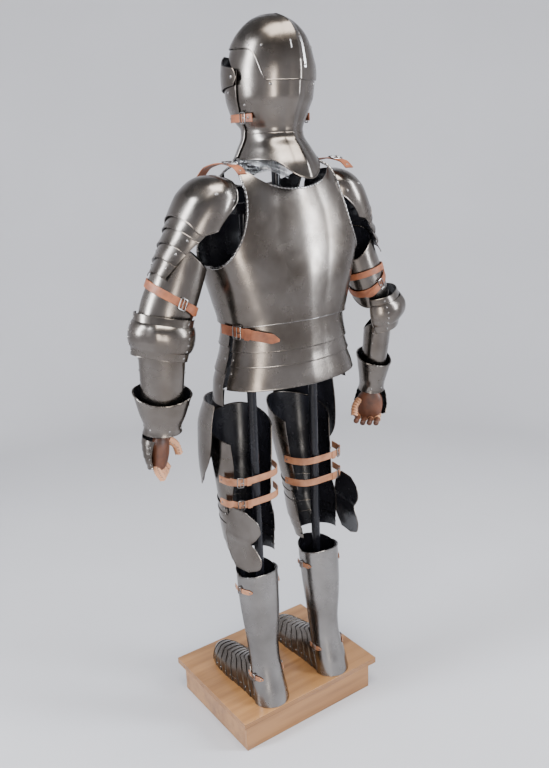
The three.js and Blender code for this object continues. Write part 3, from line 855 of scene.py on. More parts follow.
# ---------------------------------------------------------------- helmet
@dataclass
class Helmet:
    """The close helmet: skull, nape and bevor plates, and a visor that lifts."""

    head: Sections = field(default_factory=lambda: Sections("z cx cy w f b", [
        [1540, -5, 72, 134, 126, 150], [1585, -5, 72, 104, 98, 132], [1620, -5, 70, 86, 80, 108],
        [1650, -5, 70, 74, 70, 82], [1665, -5, 70, 73, 70, 78], [1685, -4, 70, 82, 90, 84],
        [1710, -3, 70, 93, 106, 94], [1740, -2, 70, 102, 108, 110], [1773, -2, 70, 105, 109, 114],
        [1800, -2, 70, 104, 106, 115], [1835, -1, 70, 96, 94, 112], [1870, 0, 70, 83, 66, 102],
        [1896, 0, 70, 62, 42, 84], [1914, 0, 70, 38, 22, 58], [1924, 0, 70, 14, 8, 30],
    ]))
    visor_rows: Sections = field(default_factory=lambda: Sections("z cy w f b", [
        [1752, 76, 115, 122, 100],
        [1786, 76, 116, 127, 100],
        [1812, 76, 115, 124, 100],
        [1840, 76, 107, 115, 100],
    ]))
    crease: float = 7.0
    slit: tuple[float, float] = (62.0, 9.0)
    slit_level: float = 1812.0
    eye_offset: float = 44.0
    pivot_level: float = 1786.0

    def skull(self) -> None:
        """The skull, with its comb, its plume bracket and its rivets."""
        bottom = edge(
            (0, 1850), (0.065, 1845), (0.1, 1822), (0.12, 1792), (0.135, 1774), (0.365, 1774), (0.38, 1792),
            (0.4, 1822), (0.435, 1845), (0.5, 1850), (0.56, 1852), (0.94, 1852), (1, 1850),
        )
        grid = self.head.patch(0, 360, bottom, 1924, LAYER, self.crease, 128, domed(40))
        form = Form(Finish.STEEL, Finish.ENAMEL, Finish.BRIGHT)
        form.wall(grid, closed=True)
        outer = lifted(grid[:, :-1], PLATE, True)
        form.tube(lifted(grid[:, :-1], PLATE / 2, True)[0], 1.5, True)
        crown = [tuple(p) for p in outer[-1]] + [tuple(outer[-1].mean(axis=0) + [0, 0, 1.2])]
        form.put(np.array(crown), [(i, (i + 1) % 128, 128) for i in range(128)])
        bar = [self.head.frame_at(99, z, LAYER + PLATE + 1.2, 0)[0] for z in np.linspace(1800, 1878, 14)]
        across = [(1.0, 0.1, 0.0)] * len(bar)
        form.ribbon(np.array([tuple(p) for p in bar]), np.array(across), 9.0, 3.4, tint=2)
        for z in (1806, 1872):
            point, normal = self.head.frame_at(99, z, LAYER + PLATE + 2.8)
            form.rivet(point, normal, 2.4)
        patch = [self.head.frame_at(84, z, LAYER + PLATE + 0.6)[0] for z in np.linspace(1842, 1860, 4)]
        form.ribbon(np.array([tuple(p) for p in patch]), np.array([(1.0, 0.1, 0.0)] * 4), 15.0, 1.4, tint=2)
        rivet_line(form, self.head, [(84, 1851)], LAYER + PLATE + 1.2, 3.4)
        rivet_line(form, self.head, [(24, 1853), (42, 1850), (138, 1850), (156, 1853)], LAYER + PLATE, 3.2)
        form.build("helmet_skull_plate", "armour", "steel", Matrix(), "helmet_skull")

    def nape(self) -> None:
        """The plate from ear to ear, drawn in at the neck and spread over the shoulders."""
        front = edge((1560, -30), (1620, -20), (1665, -8), (1720, -2), (1790, 2), (1850, -30))
        bottom = edge((0, 1600), (0.3, 1596), (0.5, 1551), (0.7, 1596), (1, 1600))
        top = edge(
            (0, 1858), (0.18, 1856), (0.25, 1830), (0.3, 1800), (0.34, 1788), (0.66, 1788), (0.7, 1800),
            (0.75, 1830), (0.82, 1856), (1, 1858),
        )
        grid = self.head.patch(front, lambda z: 180 - front(z), bottom, top, 0, self.crease, 96, 48)
        form = plate_form(grid, rolls="b", radius=2.2)
        spots = [(54, 1765), (126, 1765), (16, 1722), (164, 1722)]
        rivet_line(form, self.head, spots, PLATE, 3.4)
        seam = self.head.points(np.linspace(14, 166, 90), np.full(90, 1657.0), 0.9, self.crease)
        form.tube(seam, 1.9, sides=10)
        form.build("helmet_nape_plate", "armour", "steel", Matrix(), "helmet_nape")

    def bevor(self) -> None:
        """The chin and throat plate."""
        rear = edge((1560, -14), (1620, -8), (1665, -4), (1720, 4), (1790, 9))
        bottom = edge((0, 1604), (0.3, 1584), (0.5, 1548), (0.7, 1584), (1, 1604))
        top = edge((0, 1800), (0.12, 1786), (0.3, 1768), (0.7, 1768), (0.88, 1786), (1, 1800))
        grid = self.head.patch(lambda z: -180 - rear(z), rear, bottom, top, LAYER, self.crease, 96, 44)
        form = plate_form(grid, rolls="bse", radius=1.8)
        spots = [(-4, 1700), (-176, 1700), (-10, 1752), (-170, 1752)]
        rivet_line(form, self.head, spots, LAYER + PLATE, 3.0)
        form.build("helmet_bevor_plate", "armour", "steel", Matrix(), "helmet_bevor")

    def visor(self) -> None:
        """The visor, with a slit for each eye and the pivots that it turns on."""
        bottom = edge((0, 1768), (0.12, 1764), (0.3, 1756), (0.7, 1756), (0.88, 1764), (1, 1768))
        top = edge((0, 1804), (0.1, 1812), (0.25, 1838), (0.75, 1838), (0.9, 1812), (1, 1804))
        rear = edge((1752, -6), (1768, 6), (1786, 12), (1800, 8), (1812, 1), (1840, -8))
        grid = self.visor_rows.patch(lambda z: -180 - rear(z), rear, bottom, top, 0, 9, 112, 24)
        form = plate_form(grid)
        trim = Form(Finish.STEEL)
        middle = lifted(grid, PLATE / 2)
        for row in (middle[0], middle[-1], middle[:, 0], middle[:, -1]):
            trim.tube(row, 1.6)
        rivet_line(trim, self.visor_rows, [(4, self.pivot_level), (-184, self.pivot_level)], PLATE, 5.2)
        slits = []
        half_long, half_tall = self.slit[0] / 2, self.slit[1] / 2
        for sign in (1, -1):
            slit = Form(Finish.STEEL)
            eye, level = sign * self.eye_offset, self.slit_level
            slit.block([eye - half_long, -110, level - half_tall], [eye + half_long, 10, level + half_tall])
            slits.append(slit)
        form.build("helmet_visor_shell", "visor", "steel", Matrix(), "visor", cutters=slits)
        trim.build("helmet_visor_trim", "visor", "steel", Matrix())

    def straps(self) -> None:
        """The chin strap's two ends, with a buckle."""
        for side, start in (("left", -34), ("right", 154)):
            angles = np.linspace(start, start + 60, 24)
            path = self.head.points(angles, np.full(24, 1693.5), 2 * LAYER + 1.5)
            form = Form(Finish.TAN, Finish.BRIGHT)
            form.ribbon(path, np.array([0.0, 0.0, 1.0]), 19, LEATHER)
            middle, normal = self.head.frame_at(start + (44 if side == "left" else 16), 1693.5, 2 * LAYER + 4)
            along = Vector((0, 0, 1)).cross(normal)
            form.buckle(middle, along, Vector((0, 0, 1)), 19)
            for angle in (start + 6, start + 54):
                point, out = self.head.frame_at(angle, 1693.5, 2 * LAYER + 3)
                form.rivet(point, out, 3.0, 1)
            form.build(f"helmet_chin_strap_{side}", "armour", "strap_leather", Matrix(), f"helmet_strap_{side}")

    def build(self) -> None:
        """Makes the whole helmet."""
        self.skull()
        self.nape()
        self.bevor()
        self.visor()
        self.straps()


@dataclass
class MailCollar:
    """Rows of linked rings over the shoulders, open behind."""

    rows: Sections = field(default_factory=lambda: Sections("z cy w f b", [
        [1522, 76, 138, 112, 130], [1548, 76, 116, 98, 112], [1590, 74, 90, 82, 88], [1612, 72, 76, 70, 74],
    ]))
    ring: float = 4.6
    wire: float = 0.75
    pitch: float = 7.0

    def build(self) -> None:
        """Links the rings row by row, each row leaning against the last."""
        bottom = edge((0, 1552), (0.1, 1580), (0.22, 1594), (0.5, 1560), (0.78, 1594), (0.9, 1580), (1, 1552))
        form = Form(Finish.MAIL)
        rounds = 11
        for row in range(rounds):
            height = (row + 0.5) / rounds
            levels = np.array([[height, 0.0], [height + 0.01, 0.0]])
            grid = self.rows.patch(104, 436, bottom, 1610, 1.2, 0, 240, levels)
            line = through(grid[0], 600)
            run = np.concatenate([[0], np.cumsum(np.linalg.norm(np.diff(line, axis=0), axis=1))])
            for k in range(int(run[-1] / self.pitch)):
                at = np.searchsorted(run, (k + 0.5 * (row % 2) + 0.5) * self.pitch)
                if at >= len(line) - 1:
                    continue
                along = Vector(line[at + 1] - line[at]).normalized()
                out = along.cross(Vector((0, 0, 1))).normalized()
                lean = 0.55 if row % 2 else -0.55
                up = (Vector((0, 0, 1)) + out * lean).normalized()
                turn = np.linspace(0, 2 * math.pi, 9)[:-1]
                middle = Vector(line[at])
                loop = [
                    middle + along * (self.ring * math.cos(t)) + up * (self.ring * math.sin(t)) for t in turn
                ]
                form.tube(np.array([tuple(p) for p in loop]), self.wire, True, 4)
        form.build("mail_ring_collar", "armour", "mail", Matrix(), "mail_collar", crisp=80)


# ---------------------------------------------------------------- cuirass
@dataclass
class Cuirass:
    """Backplate, breastplate, the plates below the waist, and their straps."""

    trunk: Sections = field(default_factory=lambda: Sections("z cy w f b n", [
        [960, 78, 222, 158, 146, 2.2], [1038, 78, 218, 154, 140, 2.2], [1080, 78, 204, 146, 133, 2.2],
        [1120, 78, 190, 140, 126, 2.2], [1190, 78, 178, 134, 120, 2.2], [1250, 78, 190, 142, 118, 2.3],
        [1320, 78, 206, 150, 115, 2.5], [1400, 78, 220, 150, 106, 2.7], [1460, 78, 216, 142, 96, 2.7],
        [1510, 78, 198, 126, 84, 2.5], [1545, 78, 176, 104, 72, 2.4], [1570, 78, 150, 80, 60, 2.3],
        [1586, 78, 122, 60, 48, 2.2],
    ]))
    place: Matrix = field(default_factory=lambda: Matrix.Translation((-12, 0, 0)))
    hole_level: float = 1475.0
    hole_rise: float = 128.0
    hole_offset: float = 125.0

    def hole_frame(self, bearing: float) -> tuple[np.ndarray, np.ndarray]:
        """The outward and sideways directions of an armhole's cut."""
        turn = math.radians(bearing)
        return np.array([math.cos(turn), math.sin(turn), 0.0]), np.array([-math.sin(turn), math.cos(turn), 0.0])

    def hole_cutter(self, bearing: float, hand: int, half: float) -> Form:
        """A long oval bar that cuts an armhole."""
        out, side = self.hole_frame(bearing)
        turn = np.linspace(0, 2 * math.pi, 96, endpoint=False)
        centre = np.array([0.0, 78.0, self.hole_level])
        loop = centre + np.outer(hand * self.hole_offset + half * np.cos(turn), side)
        loop[:, 2] += self.hole_rise * np.sin(turn)
        form = Form(Finish.STEEL)
        near, far = loop + 30 * out, loop + 430 * out
        faces = [(i, (i + 1) % 96, 96 + (i + 1) % 96, 96 + i) for i in range(96)]
        faces += [tuple(range(96))[::-1], tuple(range(96, 192))]
        form.put(np.concatenate([near, far]), faces)
        return form

    def hole_rim(
        self, bearing: float, hand: int, half: float, span: tuple[float, float], out_by: float
    ) -> np.ndarray:
        """The line where an armhole meets the plate, between two angles of the trunk."""
        out, side = self.hole_frame(bearing)
        spots = []
        for turn in np.linspace(0, 2 * math.pi, 181):
            lateral = hand * self.hole_offset + half * math.cos(turn)
            z = self.hole_level + self.hole_rise * math.sin(turn)
            angles = np.linspace(span[0], span[1], 900)
            points = self.trunk.points(angles, np.full(900, z), out_by)
            offset = (points - [0, 78, 0]) @ side - lateral
            ahead = (points - [0, 78, 0]) @ out > 30
            crossing = np.nonzero((offset[:-1] * offset[1:] <= 0) & ahead[:-1])[0]
            spots.append(points[crossing[0]] if len(crossing) else None)
        runs, run = [], []
        for spot in spots:
            if spot is None:
                runs.append(run)
                run = []
            else:
                run.append(spot)
        runs.append(run)
        if len(runs) > 1 and runs[0] and runs[-1] and spots[0] is not None and spots[-1] is not None:
            runs[-1] = runs[-1][:-1] + runs[0]
            runs = runs[1:]
        return np.array(max(runs, key=len))

    def shells(self) -> None:
        """The backplate and the breastplate, with roped turns at the arms and the neck."""
        waist = edge((0, 1196), (0.5, 1206), (1, 1196))
        neck = edge((0, 1578), (0.2, 1570), (0.5, 1526), (0.8, 1570), (1, 1578))
        spec = (
            ("backplate", (2, 178), LAYER, 5.0, ((40, -1, 90), (140, 1, 90))),
            ("breastplate", (-184, 4), 0.0, 12.0, ((-40, 1, 118), (220, -1, 118))),
        )
        for name, (start, end), out, crease, holes in spec:
            grid = self.trunk.patch(start, end, waist, neck, out, crease, 120, 72)
            form = Form(Finish.STEEL, Finish.ENAMEL)
            form.wall(grid)
            cutters = [self.hole_cutter(*hole) for hole in holes]
            form.build(f"{name}_shell", "armour", "steel", self.place, name, cutters=cutters)
            rolls = Form(Finish.BRIGHT)
            for hole in holes:
                rim = self.hole_rim(*hole, (start, end), out + PLATE / 2)
                rolls.tube(through(rim, 150), 3.0, rope=0.4, sides=12)
            crown = lifted(grid, PLATE / 2)[-1]
            kept = [p for p in crown if abs(p[0]) < 84]
            rolls.tube(through(kept, 90), 2.8, rope=0.4, sides=12)
            rolls.tube(lifted(grid, PLATE / 2)[0], 1.5)
            rolls.build(f"{name}_turned_edges", "armour", "steel", self.place)

    def skirt(self) -> None:
        """The plates below the waist, each lapped under the one above."""
        hips, front = (12, 168), (-184, 4)
        spec = (
            ("back_waist_plate", 1134, 1216, hips, -2.0, ((16, 1172), (90, 1192), (164, 1172))),
            ("back_lame_1", 1096, 1144, hips, -2 - LAYER, ((14, 1112), (166, 1112))),
            ("back_lame_2", 1038, 1108, hips, -2 - 2 * LAYER, ((14, 1078), (166, 1078))),
            ("front_waist_plate", 1140, 1216, front, -2 - LAYER, ((0, 1170), (-180, 1170))),
            ("front_lame_1", 1074, 1150, front, -2 - 2 * LAYER, ((0, 1110), (-180, 1110))),
            ("front_lame_2", 990, 1086, front, -2 - 3 * LAYER, ((0, 1040), (-180, 1040))),
        )
        for name, bottom, top, (start, end), out, spots in spec:
            grid = self.trunk.patch(start, end, bottom, top, out, 3.0, 96, 12)
            form = plate_form(grid, rolls="b", radius=1.6)
            rivet_line(form, self.trunk, spots, out + PLATE, 3.2)
            form.build(f"{name}_lame", "armour", "steel", self.place, name)

    def straps(self) -> None:
        """The waist strap with its buckle, and the two shoulder straps."""
        count = 36
        angles = np.linspace(0, 62, count)
        share = np.linspace(0, 1, count)
        path = self.trunk.points(angles, np.full(count, 1190.0), 2 * LAYER + PLATE + 1.5)
        path[:, 2] += -26 * share**2
        form = Form(Finish.TAN, Finish.BRIGHT)
        form.ribbon(path, np.array([0.0, 0.0, 1.0]), 25, LEATHER, pointed=True)
        k = 12
        along = Vector(path[k + 1] - path[k]).normalized()
        form.buckle(Vector(path[k]) + along.cross(Vector((0, 0, 1))) * 2.6, along, Vector((0, 0, 1)), 25)
        loop = path[17:21] + np.array([0, 0, 0.0])
        outward = np.array(along.cross(Vector((0, 0, 1))))
        form.ribbon(loop + outward * 2.6, np.array([0.0, 0.0, 1.0]), 30, 2.2)
        form.build("waist_belt_strap", "armour", "strap_leather", self.place, "waist_strap")
        over = edge((-30, 1556), (10, 1580), (80, 1590), (140, 1582), (165, 1566))
        for side in Side:
            place = Matrix.Diagonal((side.value, 1, 1, 1))
            ys = np.linspace(-30, 165, 40)
            line = np.stack([np.full(40, 163.0), ys, over(ys) + 1.5], axis=1)
            strap = Form(Finish.TAN, Finish.BRIGHT)
            strap.ribbon(line, np.array([1.0, 0.0, 0.0]), 25, LEATHER)
            middle = Vector((163, 110, float(over(np.array(110.0))) + 5))
            strap.buckle(middle, Vector((0, 1, -0.3)), Vector((-1, 0, 0)), 25)
            for y in (-22, 156):
                strap.rivet(Vector((163, y, float(over(np.array(float(y)))) + 3)), Vector((0, 0.2, 1)), 3.0, 1)
            name = f"shoulder_strap_{side.word}"
            place = self.place @ place
            strap.build(f"shoulder_belt_{side.word}", "armour", "strap_leather", place, name)

    def build(self) -> None:
        """Makes the whole cuirass."""
        self.shells()
        self.skirt()
        self.straps()


# ---------------------------------------------------------------- arms
@dataclass
class Arm:
    """One arm's plates, from the shoulder cap to the glove."""

    side: Side
    curl: float
    shoulder: Vector = field(default_factory=lambda: Vector((205, 70, 1512)))
    turn: float = math.radians(40)
    reach: float = math.radians(8)
    pauldron_rows: Sections = field(default_factory=lambda: Sections("z cx w f b", [
        [-240, 0, 69, 82, 62], [-208, 0, 68, 81, 63], [-150, 0, 66, 79, 68], [-110, -2, 64, 79, 74],
        [-60, -4, 64, 80, 82], [-20, -8, 64, 82, 86], [12, -12, 56, 78, 84], [34, -16, 46, 68, 74],
        [50, -22, 33, 52, 56], [60, -30, 18, 30, 32],
    ]))
    upper_rows: Sections = field(default_factory=lambda: Sections("z w f b", [
        [28, 61, 45, 47], [70, 65, 48, 50], [140, 63, 48, 50], [250, 54, 46, 48],
    ]))
    elbow_rows: Sections = field(default_factory=lambda: Sections("z w f b n", [
        [-54, 69, 46, 47, 2.2], [-36, 71, 48, 54, 2.2], [-10, 73, 50, 64, 2.2], [12, 73, 50, 67, 2.2],
        [34, 73, 50, 62, 2.2], [54, 74, 50, 56, 2.2],
    ]))
    fore_rows: Sections = field(default_factory=lambda: Sections("z w f b", [
        [-212, 46, 31, 32], [-150, 51, 34, 35], [-100, 54, 36, 37], [-60, 56, 37, 38], [-26, 57, 37, 39],
    ]))
    cuff_rows: Sections = field(default_factory=lambda: Sections("z w f b", [
        [-262, 50, 38, 40], [-240, 46, 35, 36], [-205, 57, 39, 41], [-180, 64, 44, 46], [-140, 75, 51, 53],
    ]))
    hand_rows: Sections = field(default_factory=lambda: Sections("z cx w f b n", [
        [-356, 2, 25, 44, 44, 2.4], [-335, 8, 28, 46, 47, 2.4], [-310, 12, 32, 46, 48, 2.4],
        [-285, 10, 38, 42, 44, 2.3], [-262, 4, 44, 38, 40, 2.2],
    ]))

    def __post_init__(self) -> None:
        """Works out where each length of the arm sits."""
        joint = next(j for j in frame["joints"] if j["name"] == f"elbow_{self.side.word}")
        x, y, z = (value / MM for value in joint["pos_m"])
        elbow = Vector((abs(x), y, z))
        half = Matrix.Diagonal((self.side.value, 1, 1, 1))
        lean = math.atan2(elbow.x - self.shoulder.x, self.shoulder.z - elbow.z)
        length = (self.shoulder - elbow).length
        self.upper = half @ Matrix.Translation(self.shoulder) @ Matrix.Rotation(-lean, 4, "Y")
        turned = Matrix.Rotation(-self.turn, 4, "Z")
        self.cannon = self.upper @ Matrix.Translation((0, 0, -length)) @ turned
        self.elbow = half @ Matrix.Translation(elbow) @ Matrix.Rotation(-lean / 2, 4, "Y") @ turned
        self.lower = half @ Matrix.Translation(elbow) @ Matrix.Rotation(-self.reach, 4, "X") @ turned
        self.forearm = f"forearm_{self.side.word}"

    def name(self, words: str) -> str:
        """The words with the side after them."""
        return f"{words}_{self.side.word}"

    def shoulder_plates(self) -> None:
        """The cap and the four lames below it."""
        cap = edge((-92, 100), (-66, 101), (-40, 104), (-10, 112), (20, 125), (56, 112))
        bottom = edge((0, -70), (0.15, -92), (0.3, -76), (0.5, -66), (0.7, -76), (0.85, -92), (1, -70))
        rows = self.pauldron_rows
        grid = rows.patch(lambda z: -cap(z), cap, bottom, 58, LAYER + 1, 0, 96, domed(40))
        form = plate_form(grid, rolls="bse", radius=1.9)
        form.tube(lifted(grid, PLATE / 2)[-1], 1.9)
        rivet_line(form, rows, [(106, 10), (-106, 10), (64, 8), (-64, 8)], LAYER + 1 + PLATE, 3.8)
        form.build(self.name("shoulder_cap"), "armour", "steel", self.upper, self.name("pauldron"))
        side = edge((-210, 40), (-60, 92))
        low, high = edge((0, -216), (0.5, -206), (1, -216)), edge((0, -76), (0.5, -58), (1, -76))
        form = Form(Finish.STEEL, Finish.ENAMEL)
        for k in range(4):
            def share(pairs_low: Edge = low, pairs_high: Edge = high, at: float = k / 4) -> Edge:
                """The line a quarter further up for each lame."""
                return lambda s: pairs_low(s) * (1 - at) + pairs_high(s) * at
            lame_low, lame_high = share(), share(at=min(1.0, (k + 1) / 4 + 0.03))
            out = (k - 2) * 2.0 - 2.0
            flare = np.array([[t, 3.2 * (1 - t) ** 2] for t in np.linspace(0, 1, 8)])
            grid = rows.patch(lambda z: -side(z), side, lame_low, lame_high, out, 0, 64, flare)
            form.wall(grid)
            form.tube(lifted(grid, PLATE / 2)[0], 1.5)
            level = -206 + 38 * k
            edge_angle = float(side(np.array(float(level)))) * 0.78
            rivet_line(form, rows, [(edge_angle, level + 16), (-edge_angle, level + 16)], out + PLATE + 1.2, 3.6)
        form.build(self.name("shoulder_lames"), "armour", "steel", self.upper, self.name("pauldron_lames"))

    def upper_arm(self) -> None:
        """The cannon of the upper arm, with its strap."""
        bottom = edge((0, 36), (0.5, 36), (0.75, 70), (1, 36))
        top = edge((0, 240), (0.25, 215), (0.5, 185), (0.75, 220), (1, 240))
        grid = self.upper_rows.patch(0, 360, bottom, top, 0, 0, 96, 24)
        form = plate_form(grid, True, "bt", 2.1)
        form.build(self.name("upper_cannon"), "armour", "steel", self.cannon, self.name("rerebrace"))
        angles = np.linspace(0, 360, 73)
        level = smooth([0, 0.5, 1], [114, 84, 114], angles / 360)
        path = self.upper_rows.points(angles, level, PLATE + 3.6)
        form = Form(Finish.TAN, Finish.BRIGHT)
        form.ribbon(path, np.array([0.0, 0.0, 1.0]), 20, LEATHER)
        k = 25
        along = Vector(path[k + 1] - path[k]).normalized()
        outward = along.cross(Vector((0, 0, 1)))
        form.buckle(Vector(path[k]) + outward * 2.8, along, Vector((0, 0, 1)), 20)
        flap = np.concatenate([path[k + 2:k + 12]]) + np.array(outward) * 3.2
        flap[:, 2] -= np.linspace(0, 9, len(flap))
        form.ribbon(flap, np.array([0.0, 0.0, 1.0]), 18, 2.4, pointed=True)
        if self.side is Side.RIGHT:
            level = smooth([0, 0.5, 1], [92, 140, 92], angles / 360)
            path = self.upper_rows.points(angles, level, PLATE + 5.4)
            form.ribbon(path, np.array([0.0, 0.0, 1.0]), 18, 2.6)
        form.build(self.name("upper_arm_strap"), "armour", "strap_leather", self.cannon, self.name("arm_strap"))

    def elbow_plates(self) -> None:
        """The bowl over the point of the elbow, with a lame above and below it."""
        rows = self.elbow_rows
        height = np.linspace(0, 1, 25)
        bowl = np.stack([height, 6.5 * (1 - (2 * height - 1) ** 2) ** 0.8], axis=1)
        grid = rows.patch(-12, 192, -30, 32, 0, 3.0, 72, bowl)
        form = plate_form(grid, rolls="se", radius=1.7)
        for bottom, top, out in ((-50, -27, -1.7), (29, 50, -1.7)):
            lame = rows.patch(-12, 192, bottom, top, out, 0, 72, 6)
            form.wall(lame)
            form.tube(lifted(lame, PLATE / 2)[0 if bottom < 0 else -1], 1.3)
        for angle in (26, 154):
            for z, stand in ((-42, -1.7), (-24, 3.0), (-8, 6.0), (8, 6.3), (24, 3.6), (41, -1.7)):
                rivet_line(form, rows, [(angle, z)], PLATE + stand, 3.0)
        name = self.name("couter")
        form.build(self.name("elbow_bowl"), name, "steel", self.elbow, name)

    def lower_arm(self) -> None:
        """The cannon of the forearm and the flared gauntlet cuff."""
        top = edge((0, -30), (0.5, -30), (0.75, -66), (1, -30))
        grid = self.fore_rows.patch(0, 360, -212, top, 0, 0, 80, 20)
        form = plate_form(grid, True, "t", 1.9)
        rivet_line(form, self.fore_rows, [(186, -60), (186, -90), (186, -130), (4, -60), (4, -90)], PLATE, 2.8)
        form.build(self.name("fore_cannon"), self.forearm, "steel", self.lower, self.name("vambrace"))
        bottom = edge((0, -258), (0.5, -250), (1, -258))
        top = edge((0, -146), (0.25, -164), (0.5, -150), (0.75, -140), (1, -146))
        grid = self.cuff_rows.patch(0, 360, bottom, top, 0, 0, 96, 28)
        form = plate_form(grid, True, "t", 2.2, 0.35)
        form.tube(lifted(grid[:, :-1], PLATE / 2, True)[0], 1.5, True)
        rivet_line(form, self.cuff_rows, [(a, -238) for a in (10, 60, 120, 170)], PLATE, 2.7)
        rivet_line(form, self.cuff_rows, [(a, -176) for a in (0, 180)], PLATE, 2.7)
        form.build(self.name("flared_cuff"), self.forearm, "steel", self.lower, self.name("gauntlet_cuff"))

    def hand(self) -> None:
        """The lames over the back of the hand, and the knuckle roll."""
        bottom = edge((0, -340), (0.5, -350), (1, -334))
        grid = self.hand_rows.patch(-80, 84, bottom, -264, 2, 0, 56, lapped(5, 1.8))
        form = plate_form(grid, rolls="b", radius=2.0)
        spots = [(a, z) for a in (-72, 76) for z in (-326, -311, -296, -281)]
        rivet_line(form, self.hand_rows, spots, 2 + PLATE + 0.8, 2.2)
        for k in range(4):
            point, normal = self.hand_rows.frame_at(-54 + 36 * k, -339, 3.2)
            form.rivet(point, normal, 6.0)
        form.build(self.name("hand_lames"), self.forearm, "steel", self.lower, self.name("gauntlet_hand"))

    def finger(self, form: Form, joints: Sequence[Vector], radius: float) -> None:
        """A bent leather finger with overlapping scales all round it.

        Args:
            form: the glove.
            joints: the knuckle, the bend and the tip.
            radius: half the finger's width.
        """
        path = through([tuple(p) for p in joints], 22)
        end = Vector(path[-1]) + (Vector(path[-1]) - Vector(path[-2])).normalized() * (radius * 0.8)
        core = radius * 0.86
        form.tube(path, core, sides=14)
        form.rivet(Vector(path[-1]), end - Vector(path[-1]), core)
        for k in range(1, 20, 3):
            here, ahead = Vector(path[k]), (Vector(path[k + 1]) - Vector(path[k])).normalized()
            outward = (Vector((1, 0, 0)) - ahead * ahead.x).normalized()
            side = ahead.cross(outward)
            rows = []
            for step, lift in ((0.0, 0.4), (3.6, 1.2), (7.6, 2.6)):
                reach = core + lift
                ring = []
                for a in np.linspace(0, 2 * math.pi, 25):
                    scallop = step * (1 + 0.22 * math.cos(3 * a)) if step > 5 else step
                    spoke = outward * math.cos(a) + side * math.sin(a)
                    ring.append(tuple(here + ahead * scallop + spoke * reach))
                rows.append(ring)
            form.wall(np.array(rows)[::-1], 1.0, True, 1, 1)
            for a in (0.0, 2.1, 4.2):
                spoke = outward * math.cos(a) + side * math.sin(a)
                form.rivet(here + ahead * 4.0 + spoke * (core + 2.0), spoke, 1.5, 2)

    def glove(self) -> None:
        """The leather glove inside the gauntlet, its fingers covered in leather scales."""
        form = Form(Finish.DARK_SKIN, Finish.GLOVE, Finish.BRIGHT)
        rows = Sections("z cx w f b", [
            [-350, 8, 17, 34, 36], [-335, 7, 20, 38, 38], [-308, 6, 22, 40, 40], [-285, 6, 21, 36, 36],
            [-266, 6, 15, 22, 24],
        ])
        grid = rows.patch(0, 360, -350, -266, -1.5, 0, 48, 14)
        form.wall(grid, 1.5, True, 0, 0)
        for k, ring in ((0, grid[0]), (1, grid[-1])):
            centre = ring[:-1].mean(axis=0)
            order = [(48, i, (i + 1) % 48) if k else (48, (i + 1) % 48, i) for i in range(48)]
            form.put(np.concatenate([ring[:-1], [centre]]), order)
        curl = self.curl
        for k in range(4):
            y = -30 + 20 * k
            longer = 4 - 3 * abs(k - 1)
            joints = (
                Vector((12, y, -334)),
                Vector((12 - 18 * curl, y, -358 - longer + 8 * curl)),
                Vector((10 - 50 * curl, y, -384 - longer + 34 * curl)),
            )
            self.finger(form, joints, 9.6)
        self.finger(form, (Vector((-6, -30, -290)), Vector((-26, -40, -312)), Vector((-34, -38, -332))), 10.0)
        form.build(self.name("scaled_glove"), self.forearm, "glove_leather", self.lower, self.name("glove"))

    def build(self) -> None:
        """Makes the whole arm."""
        self.shoulder_plates()
        self.upper_arm()
        self.elbow_plates()
        self.lower_arm()
        self.hand()
        self.glove()


